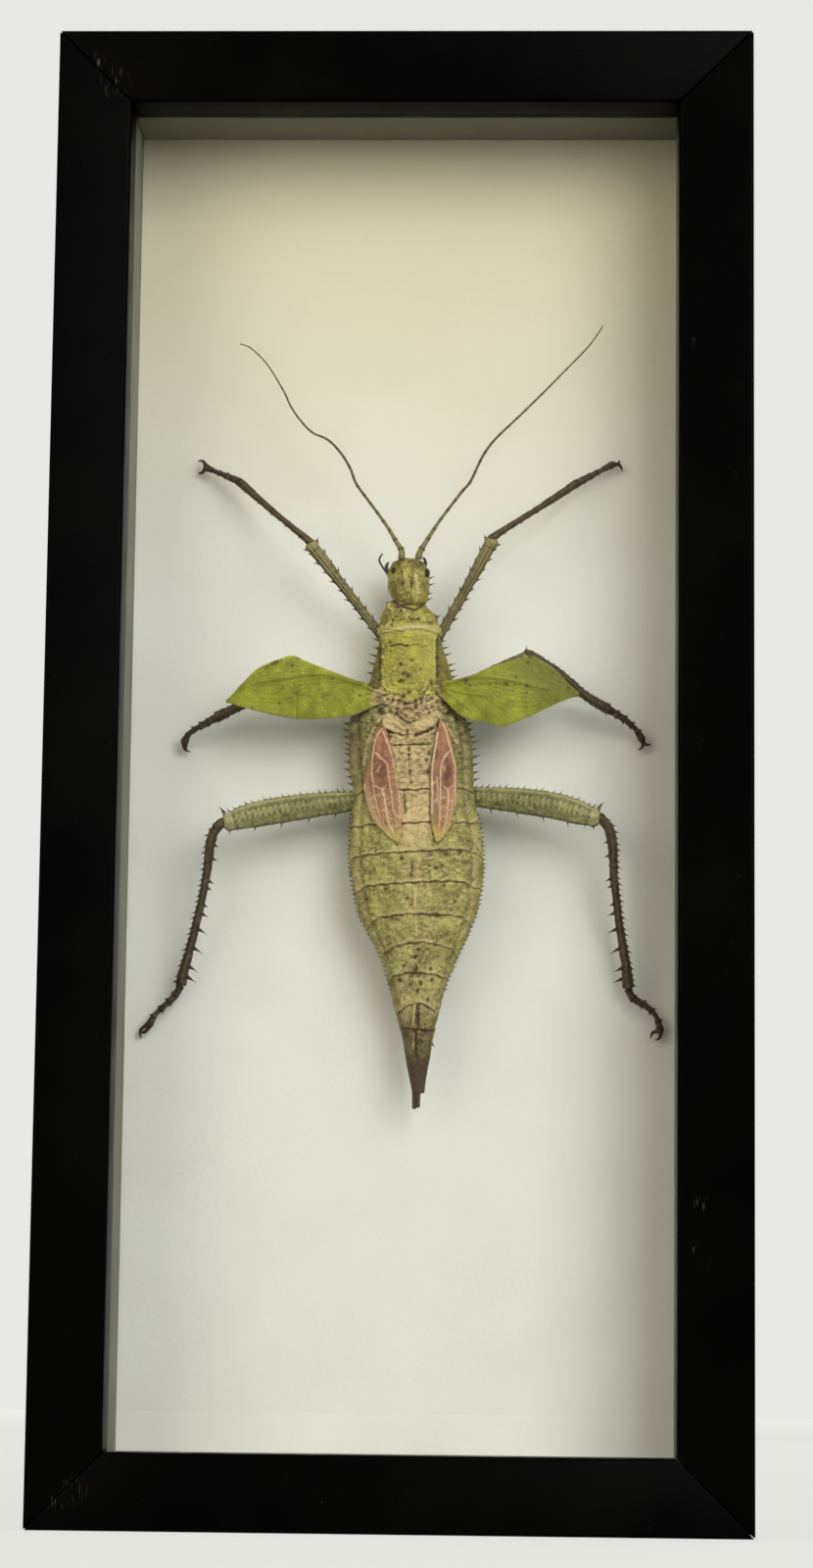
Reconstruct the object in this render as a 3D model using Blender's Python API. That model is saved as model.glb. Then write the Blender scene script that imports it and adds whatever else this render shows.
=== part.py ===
"""A spiny green stick insect mounted in a tall black shadow-box frame.

Sizes are in millimetres until a mesh is made. X runs to the right of the
frame's centre line, Z up from its bottom edge, and D backwards from the
front face of its rails.
"""

import math

import bmesh
import bpy
from mathutils import Matrix, Vector

MM = 0.001
FIT = 0.3

# Frame
FRAME_WIDTH = 190.0
FRAME_HEIGHT = 405.0
FRAME_DEPTH = 44.0
RAIL_FACE = 20.3
RAIL_WALL = 14.3
LIP_DEPTH = 13.0
EDGE_ROUND = 0.6
MITRE_GAP = 0.2

# What the rails hold, front to back
GLASS_THICK = 2.0
BACKING_FRONT = 36.1
BACKING_THICK = 3.0
REAR_THICK = 2.4
LINER_SET_BACK = 0.2

# Hanger on the rear board
HANGER_LENGTH = 46.0
HANGER_HEIGHT = 11.0
HANGER_THICK = 1.2
HANGER_Z = 368.0
HANGER_TEETH = 9
TOOTH_DEPTH = 3.0

# Body of the insect: middle of its thickness, then one row a station with
# its height Z, its middle X, its half width and its half thickness
BODY_DEPTH = 24.5
BODY_SIDES = 16
SIDE_POWER = 0.8
BACK_POWER = 1.1
HEAD = (
    (262.4, 1.5, 2.4, 1.9),
    (261.4, 1.5, 4.2, 3.2),
    (258.6, 1.5, 5.6, 4.4),
    (255.4, 1.6, 5.9, 4.9),
    (252.4, 1.7, 5.0, 4.5),
    (250.3, 1.6, 3.4, 3.2),
)
PROTHORAX = (
    (249.9, 1.3, 3.9, 3.3),
    (248.6, 1.4, 5.7, 4.4),
    (246.9, 1.7, 7.3, 5.2),
    (244.9, 1.8, 7.7, 5.6),
    (244.3, 1.9, 7.4, 5.3),
    (243.7, 2.0, 7.9, 5.9),
    (242.0, 2.0, 8.1, 6.0),
)
MESOTHORAX = (
    (241.6, 2.1, 7.6, 5.8),
    (239.3, 2.3, 8.4, 6.3),
    (236.9, 2.4, 9.0, 6.6),
    (234.6, 2.5, 9.6, 6.8),
    (232.2, 2.7, 10.3, 7.0),
    (229.8, 2.8, 10.9, 7.0),
    (226.4, 2.8, 11.9, 7.0),
)
ABDOMEN = (
    (226.0, 2.8, 12.1, 7.0),
    (221.0, 2.4, 14.2, 7.3),
    (217.3, 2.0, 16.0, 7.6),
    (210.0, 2.8, 16.7, 7.9),
    (203.4, 3.1, 16.8, 7.9),
    (197.3, 3.7, 16.2, 7.7),
    (191.0, 4.0, 17.2, 7.9),
    (184.5, 4.5, 18.0, 8.0),
    (177.5, 4.7, 18.1, 8.0),
    (170.2, 5.0, 17.2, 7.8),
    (164.0, 5.1, 15.7, 7.4),
    (158.5, 5.4, 13.2, 6.8),
    (153.2, 5.7, 10.5, 5.9),
    (146.0, 5.4, 7.9, 4.9),
    (138.5, 5.3, 6.0, 4.0),
    (132.0, 5.5, 4.4, 3.2),
    (124.5, 5.8, 3.2, 2.5),
    (118.0, 5.8, 1.9, 1.7),
    (112.0, 5.5, 0.9, 0.9),
)
SEGMENT_BORDERS = (217.0, 203.1, 197.2, 188.4, 180.1, 171.6, 163.1, 155.7, 148.1, 139.6, 133.0)
METATHORAX_SPINES = (218.0, 203.4)
ABDOMEN_SPINES = (190.5, 157.0)
BORDER_DIP = 0.93
BORDER_HALF = 0.5
RING_STEP = 2.9

# Fore wings: X, then Z of the upper edge, the midrib and the lower edge
WING_THICK = 0.8
RIB_RISE = 0.9
TEGMEN_DEPTH = 18.0
TEGMEN_LEFT = (
    (-5.4, 224.0, 223.1, 221.9),
    (-8.0, 225.8, 224.9, 219.7),
    (-12.0, 227.2, 226.3, 218.0),
    (-16.0, 228.6, 227.5, 217.1),
    (-21.0, 230.6, 228.5, 216.8),
    (-26.0, 232.7, 228.5, 216.6),
    (-29.5, 234.1, 227.8, 216.9),
    (-34.0, 232.8, 227.2, 217.7),
    (-39.0, 230.6, 226.6, 219.0),
    (-43.0, 226.6, 224.8, 220.1),
    (-46.0, 223.2, 222.6, 221.1),
    (-47.4, 221.9, 221.7, 221.4),
)
TEGMEN_RIGHT = (
    (9.8, 226.3, 225.9, 224.6),
    (12.0, 227.0, 226.2, 222.0),
    (16.0, 227.8, 227.3, 218.2),
    (19.6, 228.9, 228.1, 216.5),
    (23.4, 230.6, 228.1, 216.1),
    (27.2, 232.0, 227.7, 214.9),
    (31.0, 233.1, 227.1, 216.0),
    (35.0, 234.4, 226.3, 217.7),
    (38.5, 233.1, 225.5, 219.6),
    (42.0, 230.7, 224.8, 221.3),
    (45.0, 227.7, 224.6, 222.7),
    (47.6, 225.3, 224.2, 223.6),
    (48.3, 224.3, 224.0, 223.8),
)

# Hind wings: Z, then X of the left edge, the main vein and the right edge
HINDWING_THICK = 0.5
HINDWING_LIFT = 0.45
HINDWING_LEFT = (
    (216.2, -5.9, -5.3, -4.6),
    (213.0, -6.4, -5.6, -3.5),
    (208.0, -7.5, -6.2, -2.1),
    (202.5, -8.9, -6.4, -1.1),
    (199.0, -9.6, -6.0, -0.5),
    (194.0, -8.6, -4.8, 0.5),
    (189.0, -6.7, -3.2, 0.8),
    (185.7, -3.8, -1.8, 0.7),
    (183.2, -0.9, -0.4, 0.2),
)
HINDWING_RIGHT = (
    (217.3, 10.6, 11.1, 11.7),
    (213.0, 9.9, 11.6, 13.0),
    (207.0, 9.1, 12.4, 14.7),
    (202.5, 8.6, 12.6, 15.4),
    (197.0, 8.5, 12.4, 15.4),
    (193.8, 8.6, 12.0, 15.2),
    (189.5, 8.7, 11.6, 14.3),
    (186.6, 9.2, 11.1, 13.5),
    (183.3, 10.0, 10.4, 10.9),
)

# Antennae and legs: X, D and Z along the middle of each piece
ANTENNA_LEFT = (
    (-0.4, 21.5, 263.2),
    (-1.7, 21.3, 266.5),
    (-5.1, 21.2, 272.0),
    (-10.4, 21.4, 279.2),
    (-13.0, 21.6, 282.9),
    (-14.7, 21.8, 287.2),
    (-17.4, 22.0, 291.6),
    (-21.0, 22.3, 295.3),
    (-25.3, 22.6, 297.4),
    (-28.9, 22.9, 301.2),
    (-31.5, 23.2, 305.1),
    (-33.4, 23.5, 309.2),
    (-38.2, 23.9, 317.0),
    (-42.8, 24.2, 321.6),
    (-45.9, 24.4, 322.9),
)
ANTENNA_RIGHT = (
    (4.6, 21.5, 263.2),
    (6.1, 21.3, 266.2),
    (10.0, 21.2, 272.3),
    (15.8, 21.5, 280.3),
    (18.3, 21.7, 283.4),
    (20.3, 21.9, 287.8),
    (22.3, 22.1, 291.8),
    (25.4, 22.4, 296.0),
    (32.6, 22.9, 303.2),
    (40.2, 23.4, 311.1),
    (49.1, 23.9, 320.6),
    (51.7, 24.2, 323.8),
    (54.6, 24.4, 328.3),
)
ANTENNA_BASE_WIDTH = 1.2
ANTENNA_TIP_WIDTH = 0.5

FORE_FEMUR = {
    "left": ((-8.0, 27.0, 244.2), (-16.4, 23.4, 254.7), (-24.9, 19.5, 265.1)),
    "right": ((11.7, 27.0, 244.1), (18.3, 23.4, 255.3), (24.6, 19.5, 266.4)),
}
FORE_FEMUR_WIDTH = (2.5, 2.6, 3.5)
FORE_TIBIA = {
    "left": ((-26.2, 19.2, 267.0), (-36.0, 24.4, 275.6), (-45.1, 29.4, 284.4)),
    "right": ((25.9, 19.1, 268.6), (36.8, 24.4, 276.5), (47.0, 29.6, 284.6)),
}
FORE_TIBIA_WIDTH = (2.2, 1.9, 2.2)
FORE_TARSUS = {
    "left": ((-46.1, 30.2, 285.4), (-51.0, 32.0, 287.8), (-55.2, 33.1, 289.8)),
    "right": ((48.1, 30.4, 285.5), (52.7, 32.0, 288.3), (56.9, 33.1, 290.8)),
}
MIDDLE_FEMUR = {
    "left": ((-11.2, 26.5, 226.5), (-20.0, 24.5, 230.4), (-27.6, 22.4, 233.2)),
    "right": ((16.3, 26.5, 226.9), (25.2, 24.5, 231.2), (34.3, 22.4, 234.5)),
}
MIDDLE_FEMUR_WIDTH = (2.6, 3.0, 3.4)
MIDDLE_TIBIA = {
    "left": ((-29.6, 22.2, 233.0), (-38.0, 24.9, 226.9), (-45.2, 27.0, 221.8), (-50.7, 28.4, 218.8)),
    "right": ((36.4, 22.2, 235.0), (43.0, 24.0, 230.8), (50.3, 26.2, 224.9), (56.2, 28.3, 221.7)),
}
MIDDLE_TIBIA_WIDTH = (2.4, 2.2, 2.2, 2.7)
MIDDLE_TARSUS = {
    "left": ((-51.8, 28.9, 218.1), (-55.7, 30.0, 216.3), (-58.4, 31.2, 214.7), (-59.7, 32.5, 212.9)),
    "right": ((57.5, 28.8, 221.0), (61.7, 30.5, 218.6), (64.4, 31.9, 216.4), (65.6, 33.1, 214.4)),
}
HIND_FEMUR = {
    "left": (
        (-13.6, 26.8, 195.5), (-22.0, 25.2, 194.3), (-29.0, 23.7, 193.0), (-36.0, 22.1, 191.6),
        (-41.0, 21.0, 190.4), (-45.3, 19.9, 188.9), (-47.3, 19.4, 188.5),
    ),
    "right": (
        (20.7, 26.8, 197.0), (28.2, 25.3, 196.1), (35.4, 23.7, 195.1), (42.0, 22.2, 193.9),
        (47.5, 20.9, 192.3), (51.7, 19.9, 190.8), (53.8, 19.4, 190.2),
    ),
}
HIND_FEMUR_WIDTH = (5.0, 6.2, 6.8, 7.1, 6.9, 6.0, 3.4)
HIND_TIBIA = {
    "left": (
        (-49.4, 19.3, 187.2), (-51.4, 21.8, 181.0), (-52.4, 24.0, 173.6),
        (-55.0, 26.6, 161.6), (-57.5, 28.8, 152.3), (-59.2, 30.6, 145.8),
    ),
    "right": (
        (56.1, 19.3, 188.9), (57.8, 21.8, 181.8), (58.2, 23.8, 174.4),
        (59.8, 26.6, 161.6), (61.5, 28.9, 151.6), (62.1, 30.5, 146.0),
    ),
}
HIND_TIBIA_WIDTH = (2.7, 2.3, 2.2, 2.3, 2.5, 3.0)
HIND_TARSUS = {
    "left": (
        (-59.8, 31.1, 144.3), (-61.4, 31.6, 142.1), (-63.8, 32.1, 139.7),
        (-66.4, 32.7, 137.2), (-68.1, 33.4, 134.6),
    ),
    "right": (
        (62.6, 31.0, 144.4), (64.0, 31.5, 142.4), (66.6, 32.1, 140.9),
        (69.0, 32.7, 138.8), (70.3, 33.3, 136.0),
    ),
}
TARSUS_WIDTH = (1.8, 1.3, 1.3, 1.4, 1.9)

# Dabs of clear glue under the body: X, Z and half width
GLUE_DABS = {"glue_dab_thorax": (2.3, 235.5, 3.2), "glue_dab_abdomen": (4.7, 180.0, 5.0)}

VIEWER = Vector((0.0, -1.0, 0.0))


def clear_scene():
    """Remove every object of the open scene."""
    for obj in list(bpy.data.objects):
        bpy.data.objects.remove(obj, do_unlink=True)


def material(name, colour, roughness, metallic=0.0):
    """One plain Principled material."""
    mat = bpy.data.materials.get(name) or bpy.data.materials.new(name)
    mat.use_nodes = True
    shader = mat.node_tree.nodes["Principled BSDF"]
    shader.inputs["Base Color"].default_value = (*colour, 1.0)
    shader.inputs["Roughness"].default_value = roughness
    shader.inputs["Metallic"].default_value = metallic
    return mat


def place(x, depth, z):
    """A point of the insect or of the case, in metres about the frame's middle."""
    return Vector((x, depth - FRAME_DEPTH / 2, z)) * MM


def face_outwards(bm):
    """Turn the faces of a closed body outwards."""
    bmesh.ops.recalc_face_normals(bm, faces=bm.faces)
    if bm.calc_volume(signed=True) < 0.0:
        bmesh.ops.reverse_faces(bm, faces=bm.faces)


def finish(bm, name, mat, smooth=True):
    """Close a bmesh into a named object whose faces point outwards."""
    face_outwards(bm)
    mesh = bpy.data.meshes.new(name)
    bm.to_mesh(mesh)
    bm.free()
    if smooth:
        mesh.shade_smooth()
        mesh.set_sharp_from_angle(angle=math.radians(40))
    mesh.materials.append(mat)
    obj = bpy.data.objects.new(name, mesh)
    bpy.context.scene.collection.objects.link(obj)
    return obj


def box(name, size, centre, mat):
    """A board or pane: size and centre in millimetres, centre as X, D, Z."""
    bm = bmesh.new()
    bmesh.ops.create_cube(bm, size=1.0, matrix=Matrix.Diagonal((*[s * MM for s in size], 1.0)))
    obj = finish(bm, name, mat, smooth=False)
    obj.location = place(*centre)
    return obj


def loft(bm, rings):
    """Bridge rings of equal count, close both ends, and return the side faces by band."""
    loops = [[bm.verts.new(p) for p in ring] for ring in rings]
    count = len(loops[0])
    bands = []
    for first, second in zip(loops, loops[1:]):
        band = []
        for i in range(count):
            j = (i + 1) % count
            band.append(bm.faces.new((first[i], first[j], second[j], second[i])))
        bands.append(band)
    caps = [bm.faces.new(list(reversed(loops[0]))), bm.faces.new(loops[-1])]
    face_outwards(bm)
    return bands, caps


def towards(band, direction):
    """The face of a band, not yet grown into a spine, that looks most nearly along a direction."""
    return max((face for face in band if face.is_valid), key=lambda face: face.normal.dot(direction))


def grow_spine(bm, face, length, share, lean=Vector((0.0, 0.0, 0.0))):
    """Draw a pointed spine out of one face, on a base that is a share of the face."""
    normal = face.normal.copy()
    middle = face.calc_center_median()
    bmesh.ops.inset_region(bm, faces=[face], thickness=min(e.calc_length() for e in face.edges) * 0.02)
    for vert in face.verts:
        vert.co = middle + (vert.co - middle) * share
    centre = bmesh.ops.poke(bm, faces=[face])["verts"][0]
    centre.co = middle + (normal + lean).normalized() * length * MM


def smooth_point(points, position):
    """A point on the smooth curve through the given points, at a position along the list."""
    last = len(points) - 1
    i = min(int(position), last - 1)
    t = position - i
    p0, p1, p2, p3 = (Vector(points[max(0, min(last, i + k))]) for k in (-1, 0, 1, 2))
    return 0.5 * (
        2 * p1 + (p2 - p0) * t + (2 * p0 - 5 * p1 + 4 * p2 - p3) * t**2 + (3 * p1 - p0 - 3 * p2 + p3) * t**3
    )


def between(values, position):
    """A value read along a list of values, in straight steps."""
    i = min(int(position), len(values) - 2)
    return values[i] + (values[i + 1] - values[i]) * (position - i)


def limb(bm, points, widths, steps, sides=8, flat=1.0):
    """Loft a limb along a smooth line and return its bands and end faces."""
    rings = []
    last = len(points) - 1
    for step in range(steps + 1):
        at = last * step / steps
        here = smooth_point(points, at)
        ahead = smooth_point(points, min(last, at + 0.05))
        behind = smooth_point(points, max(0.0, at - 0.05))
        along = (ahead - behind).normalized()
        side = along.cross(VIEWER).normalized()
        rise = side.cross(along)
        half = between(widths, at * (len(widths) - 1) / last) / 2
        ring = []
        for k in range(sides):
            angle = (k + 0.5) * math.tau / sides
            offset = side * math.cos(angle) * half + rise * math.sin(angle) * half * flat
            ring.append(place(*(here + offset)))
        rings.append(ring)
    return loft(bm, rings)


def rail(name, length, mat):
    """One mitred rail, lying along X with its outer side down."""
    front = -FRAME_DEPTH / 2
    profile = (
        (0.0, front + EDGE_ROUND),
        (EDGE_ROUND, front),
        (RAIL_FACE - EDGE_ROUND, front),
        (RAIL_FACE, front + EDGE_ROUND),
        (RAIL_FACE, front + LIP_DEPTH),
        (RAIL_WALL, front + LIP_DEPTH),
        (RAIL_WALL, -front),
        (0.0, -front),
    )
    bm = bmesh.new()
    rings = []
    for end in (-1, 1):
        rings.append([Vector((end * (length / 2 - up - MITRE_GAP), y, up)) * MM for up, y in profile])
    loft(bm, rings)
    return finish(bm, name, mat, smooth=False)


def build_frame():
    """Four mitred rails of black moulding."""
    black = material("black_painted_wood", (0.006, 0.006, 0.005), 0.35)
    middle = FRAME_HEIGHT / 2
    sides = (
        ("frame_rail_bottom", FRAME_WIDTH, (0.0, 0.0, 0.0), 0.0),
        ("frame_rail_top", FRAME_WIDTH, (0.0, 0.0, FRAME_HEIGHT), 180.0),
        ("frame_rail_left", FRAME_HEIGHT, (-FRAME_WIDTH / 2, 0.0, middle), 90.0),
        ("frame_rail_right", FRAME_HEIGHT, (FRAME_WIDTH / 2, 0.0, middle), -90.0),
    )
    for name, length, position, turn in sides:
        obj = rail(name, length, black)
        obj.location = Vector(position) * MM
        obj.rotation_euler = (0.0, math.radians(turn), 0.0)


def build_case():
    """The pane, the white liner strips, the white backing and the rear board."""
    white = material("white_board", (0.75, 0.75, 0.72), 0.8)
    inner_width = FRAME_WIDTH - 2 * (RAIL_WALL + FIT)
    inner_height = FRAME_HEIGHT - 2 * (RAIL_WALL + FIT)
    middle = FRAME_HEIGHT / 2
    glass_front = LIP_DEPTH + FIT
    glass = material("clear_glass", (0.85, 0.9, 0.88), 0.02)
    glass_size = (inner_width, GLASS_THICK, inner_height)
    box("glass_pane", glass_size, (0.0, glass_front + GLASS_THICK / 2, middle), glass)

    liner_front = glass_front + GLASS_THICK + FIT
    liner_deep = BACKING_FRONT - FIT - liner_front
    liner_middle = liner_front + liner_deep / 2
    liner_thick = RAIL_FACE - LINER_SET_BACK - RAIL_WALL - FIT
    long_liner = (liner_thick, liner_deep, inner_height)
    short_liner = (inner_width - 2 * (liner_thick + FIT), liner_deep, liner_thick)
    across = (inner_width - liner_thick) / 2
    up = (inner_height - liner_thick) / 2
    box("liner_left", long_liner, (-across, liner_middle, middle), white)
    box("liner_right", long_liner, (across, liner_middle, middle), white)
    box("liner_bottom", short_liner, (0.0, liner_middle, middle - up), white)
    box("liner_top", short_liner, (0.0, liner_middle, middle + up), white)

    backing_size = (inner_width, BACKING_THICK, inner_height)
    box("backing_board", backing_size, (0.0, BACKING_FRONT + BACKING_THICK / 2, middle), white)
    brown = material("brown_hardboard", (0.2, 0.11, 0.05), 0.7)
    rear_front = BACKING_FRONT + BACKING_THICK + FIT
    rear_size = (inner_width, REAR_THICK, inner_height)
    box("rear_board", rear_size, (0.0, rear_front + REAR_THICK / 2, middle), brown)
    return rear_front + REAR_THICK


def build_hanger(board_back):
    """A sawtooth hanger on the rear board: a plate whose lower edge is cut in teeth."""
    pitch = HANGER_LENGTH / (HANGER_TEETH + 2)
    outline = [(-HANGER_LENGTH / 2, HANGER_HEIGHT), (-HANGER_LENGTH / 2, 0.0)]
    for tooth in range(HANGER_TEETH):
        left = -HANGER_LENGTH / 2 + (tooth + 1) * pitch
        outline += [(left, 0.0), (left + pitch / 2, TOOTH_DEPTH)]
    outline += [(HANGER_LENGTH / 2 - pitch, 0.0), (HANGER_LENGTH / 2, 0.0), (HANGER_LENGTH / 2, HANGER_HEIGHT)]
    bm = bmesh.new()
    front = board_back + FIT
    rings = [[place(x, depth, HANGER_Z + z) for x, z in outline] for depth in (front, front + HANGER_THICK)]
    loft(bm, rings)
    finish(bm, "wall_hanger", material("zinc_plated_steel", (0.6, 0.58, 0.52), 0.35, 1.0), smooth=False)


def station(rows, z):
    """Middle, half width and half thickness of the body at one height."""
    for upper, lower in zip(rows, rows[1:]):
        if z >= lower[0]:
            break
    share = min(1.0, max(0.0, (upper[0] - z) / (upper[0] - lower[0])))
    return [a + (b - a) * share for a, b in zip(upper[1:], lower[1:])]


def body_ring(z, middle, half, thick):
    """A flattened ring of the body with narrow upright sides."""
    ring = []
    for k in range(BODY_SIDES):
        angle = (k + 0.5) * math.tau / BODY_SIDES
        c, s = math.cos(angle), math.sin(angle)
        x = middle + half * math.copysign(abs(c) ** SIDE_POWER, c)
        depth = BODY_DEPTH - thick * math.copysign(abs(s) ** BACK_POWER, s)
        ring.append(place(x, depth, z))
    return ring


def back_depth(x, z):
    """Depth of the insect's back under a point of its hind wings."""
    rows = MESOTHORAX if z > ABDOMEN[0][0] else ABDOMEN
    middle, half, thick = station(rows, z)
    across = min(0.98, abs(x - middle) / half)
    rise = math.sqrt(1.0 - across ** (2.0 / SIDE_POWER)) ** BACK_POWER
    return BODY_DEPTH - thick * rise


def side_spines(bm, bands, length, share):
    """A spine out of each side of every given band."""
    for band in bands:
        for direction in (Vector((-1.0, 0.0, 0.0)), Vector((1.0, 0.0, 0.0))):
            grow_spine(bm, towards(band, direction), length, share)


def build_head():
    """Head with its feelers' sockets, eyes and mouth palps in one piece."""
    bm = bmesh.new()
    bands, caps = loft(bm, [body_ring(*row) for row in HEAD])
    side_spines(bm, bands[2:4], 1.4, 0.3)
    for x in (-1.0, 1.0):
        eye = towards(bands[1], Vector((x, -0.4, 0.2)))
        grow_spine(bm, eye, 0.7, 0.75)
        palp = towards(bands[0], Vector((x, 0.6, 0.6)))
        grow_spine(bm, palp, 3.4, 0.6, Vector((0.0, 0.0, 1.6)))
    finish(bm, "head", material("yellow_green_shell", (0.36, 0.38, 0.1), 0.5))


def build_thorax():
    """Prothorax with its collar, and the spiny mesothorax."""
    shell = material("yellow_green_shell", (0.36, 0.38, 0.1), 0.5)
    bm = bmesh.new()
    loft(bm, [body_ring(*row) for row in PROTHORAX])
    finish(bm, "prothorax", shell)
    bm = bmesh.new()
    bands, caps = loft(bm, [body_ring(*row) for row in MESOTHORAX])
    side_spines(bm, bands[1:5], 2.2, 0.35)
    finish(bm, "mesothorax", shell)


def build_abdomen():
    """Metathorax and abdomen: one tapering shell with sunken segment borders."""
    heights = []
    top, bottom = ABDOMEN[0][0], ABDOMEN[-1][0]
    edges = [top, *SEGMENT_BORDERS, bottom]
    for upper, lower in zip(edges, edges[1:]):
        start = upper if upper == top else upper - BORDER_HALF
        end = lower if lower == bottom else lower + BORDER_HALF
        count = max(1, round((start - end) / RING_STEP))
        heights += [(start + (end - start) * i / count, 1.0) for i in range(count + 1)]
        if lower != bottom:
            heights.append((lower, BORDER_DIP))
    rings = []
    for z, scale in heights:
        middle, half, thick = station(ABDOMEN, z)
        rings.append(body_ring(z, middle, half * scale, thick * scale))
    bm = bmesh.new()
    bands, caps = loft(bm, rings)
    for band, (start, scale), (end, end_scale) in zip(bands, heights, heights[1:]):
        plain = scale < 1.0 or end_scale < 1.0
        if not plain and METATHORAX_SPINES[0] > start and end > METATHORAX_SPINES[1]:
            side_spines(bm, [band], 1.9, 0.35)
        if not plain and ABDOMEN_SPINES[0] > start and end > ABDOMEN_SPINES[1]:
            side_spines(bm, [band], 0.9, 0.4)
    finish(bm, "abdomen", material("olive_green_shell", (0.27, 0.29, 0.1), 0.55))


def wing_ring(points, thick):
    """A thin closed section through edge, quarter, rib, quarter and edge points."""
    front = [place(x, depth - thick / 2, z) for x, depth, z in points]
    rear = [place(x, depth + thick / 2, z) for x, depth, z in reversed(points)]
    return front + rear


def mix(first, second, share):
    """A value part of the way from one to another."""
    return first + (second - first) * share


def build_tegmen(name, rows):
    """A stiff leaf-like fore wing, raised along its midrib."""
    root, tip = rows[0][0], rows[-1][0]
    rings = []
    for x, upper, rib, lower in rows:
        out = (x - root) / (tip - root)
        rest = TEGMEN_DEPTH + 1.6 * out - 1.2 * math.sin(math.pi * out)
        crown = RIB_RISE * math.sin(math.pi * min(1.0, 0.15 + out))
        heights = (upper, mix(upper, rib, 0.5), rib, mix(rib, lower, 0.35), mix(rib, lower, 0.7), lower)
        drops = (0.0, 0.6, 1.0, 0.8, 0.45, 0.0)
        points = [(x, rest - crown * drop, z) for z, drop in zip(heights, drops)]
        rings.append(wing_ring(points, WING_THICK * (1.0 - 0.4 * out)))
    bm = bmesh.new()
    loft(bm, rings)
    finish(bm, name, material("leaf_green_wing", (0.3, 0.38, 0.03), 0.45))


def build_hindwing(name, rows):
    """A small soft hind wing laid over the back."""
    rings = []
    for z, left, vein, right in rows:
        across = (left, mix(left, vein, 0.5), vein, mix(vein, right, 0.5), right)
        points = [(x, back_depth(x, z) - HINDWING_LIFT - HINDWING_THICK, z) for x in across]
        rings.append(wing_ring(points, HINDWING_THICK))
    bm = bmesh.new()
    loft(bm, rings)
    finish(bm, name, material("pink_membrane_wing", (0.45, 0.2, 0.14), 0.5))


def build_antenna(name, points):
    """A long thin feeler with knotted joints."""
    steps = 2 * (len(points) - 1)
    widths = []
    for step in range(steps + 1):
        width = mix(ANTENNA_BASE_WIDTH, ANTENNA_TIP_WIDTH, min(1.0, 1.6 * step / steps))
        widths.append(width * (1.25 if step % 2 == 0 else 0.9))
    bm = bmesh.new()
    limb(bm, points, widths, steps, sides=6)
    finish(bm, name, material("brown_feeler", (0.12, 0.09, 0.04), 0.6))


def spines_along(bm, bands, direction, every, first, length, share, taper=1.0):
    """Spines on one side of a limb, every few bands, growing by taper to the far end."""
    count = len(bands)
    for i in range(first, count - 1, every):
        scale = mix(1.0, taper, i / count)
        grow_spine(bm, towards(bands[i], direction), length * scale, share)


def build_claws(bm, cap, along, side):
    """Two hooked claws from the end of a foot."""
    verts = list(cap.verts)
    centre = cap.calc_center_median()
    split = bmesh.utils.face_split(cap, verts[0], verts[len(verts) // 2])
    for part in (cap, split[0]):
        outward = 1.0 if (part.calc_center_median() - centre).dot(side) > 0 else -1.0
        moved = bmesh.ops.extrude_discrete_faces(bm, faces=[part])["faces"][0]
        middle = moved.calc_center_median()
        for vert in moved.verts:
            vert.co = middle + (vert.co - middle) * 0.6 + (along * 1.0 + side * outward * 0.5) * MM
        grow_spine(bm, moved, 1.6, 0.9, side * outward * 0.3 + Vector((0.0, 0.5, 0.0)))


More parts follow.
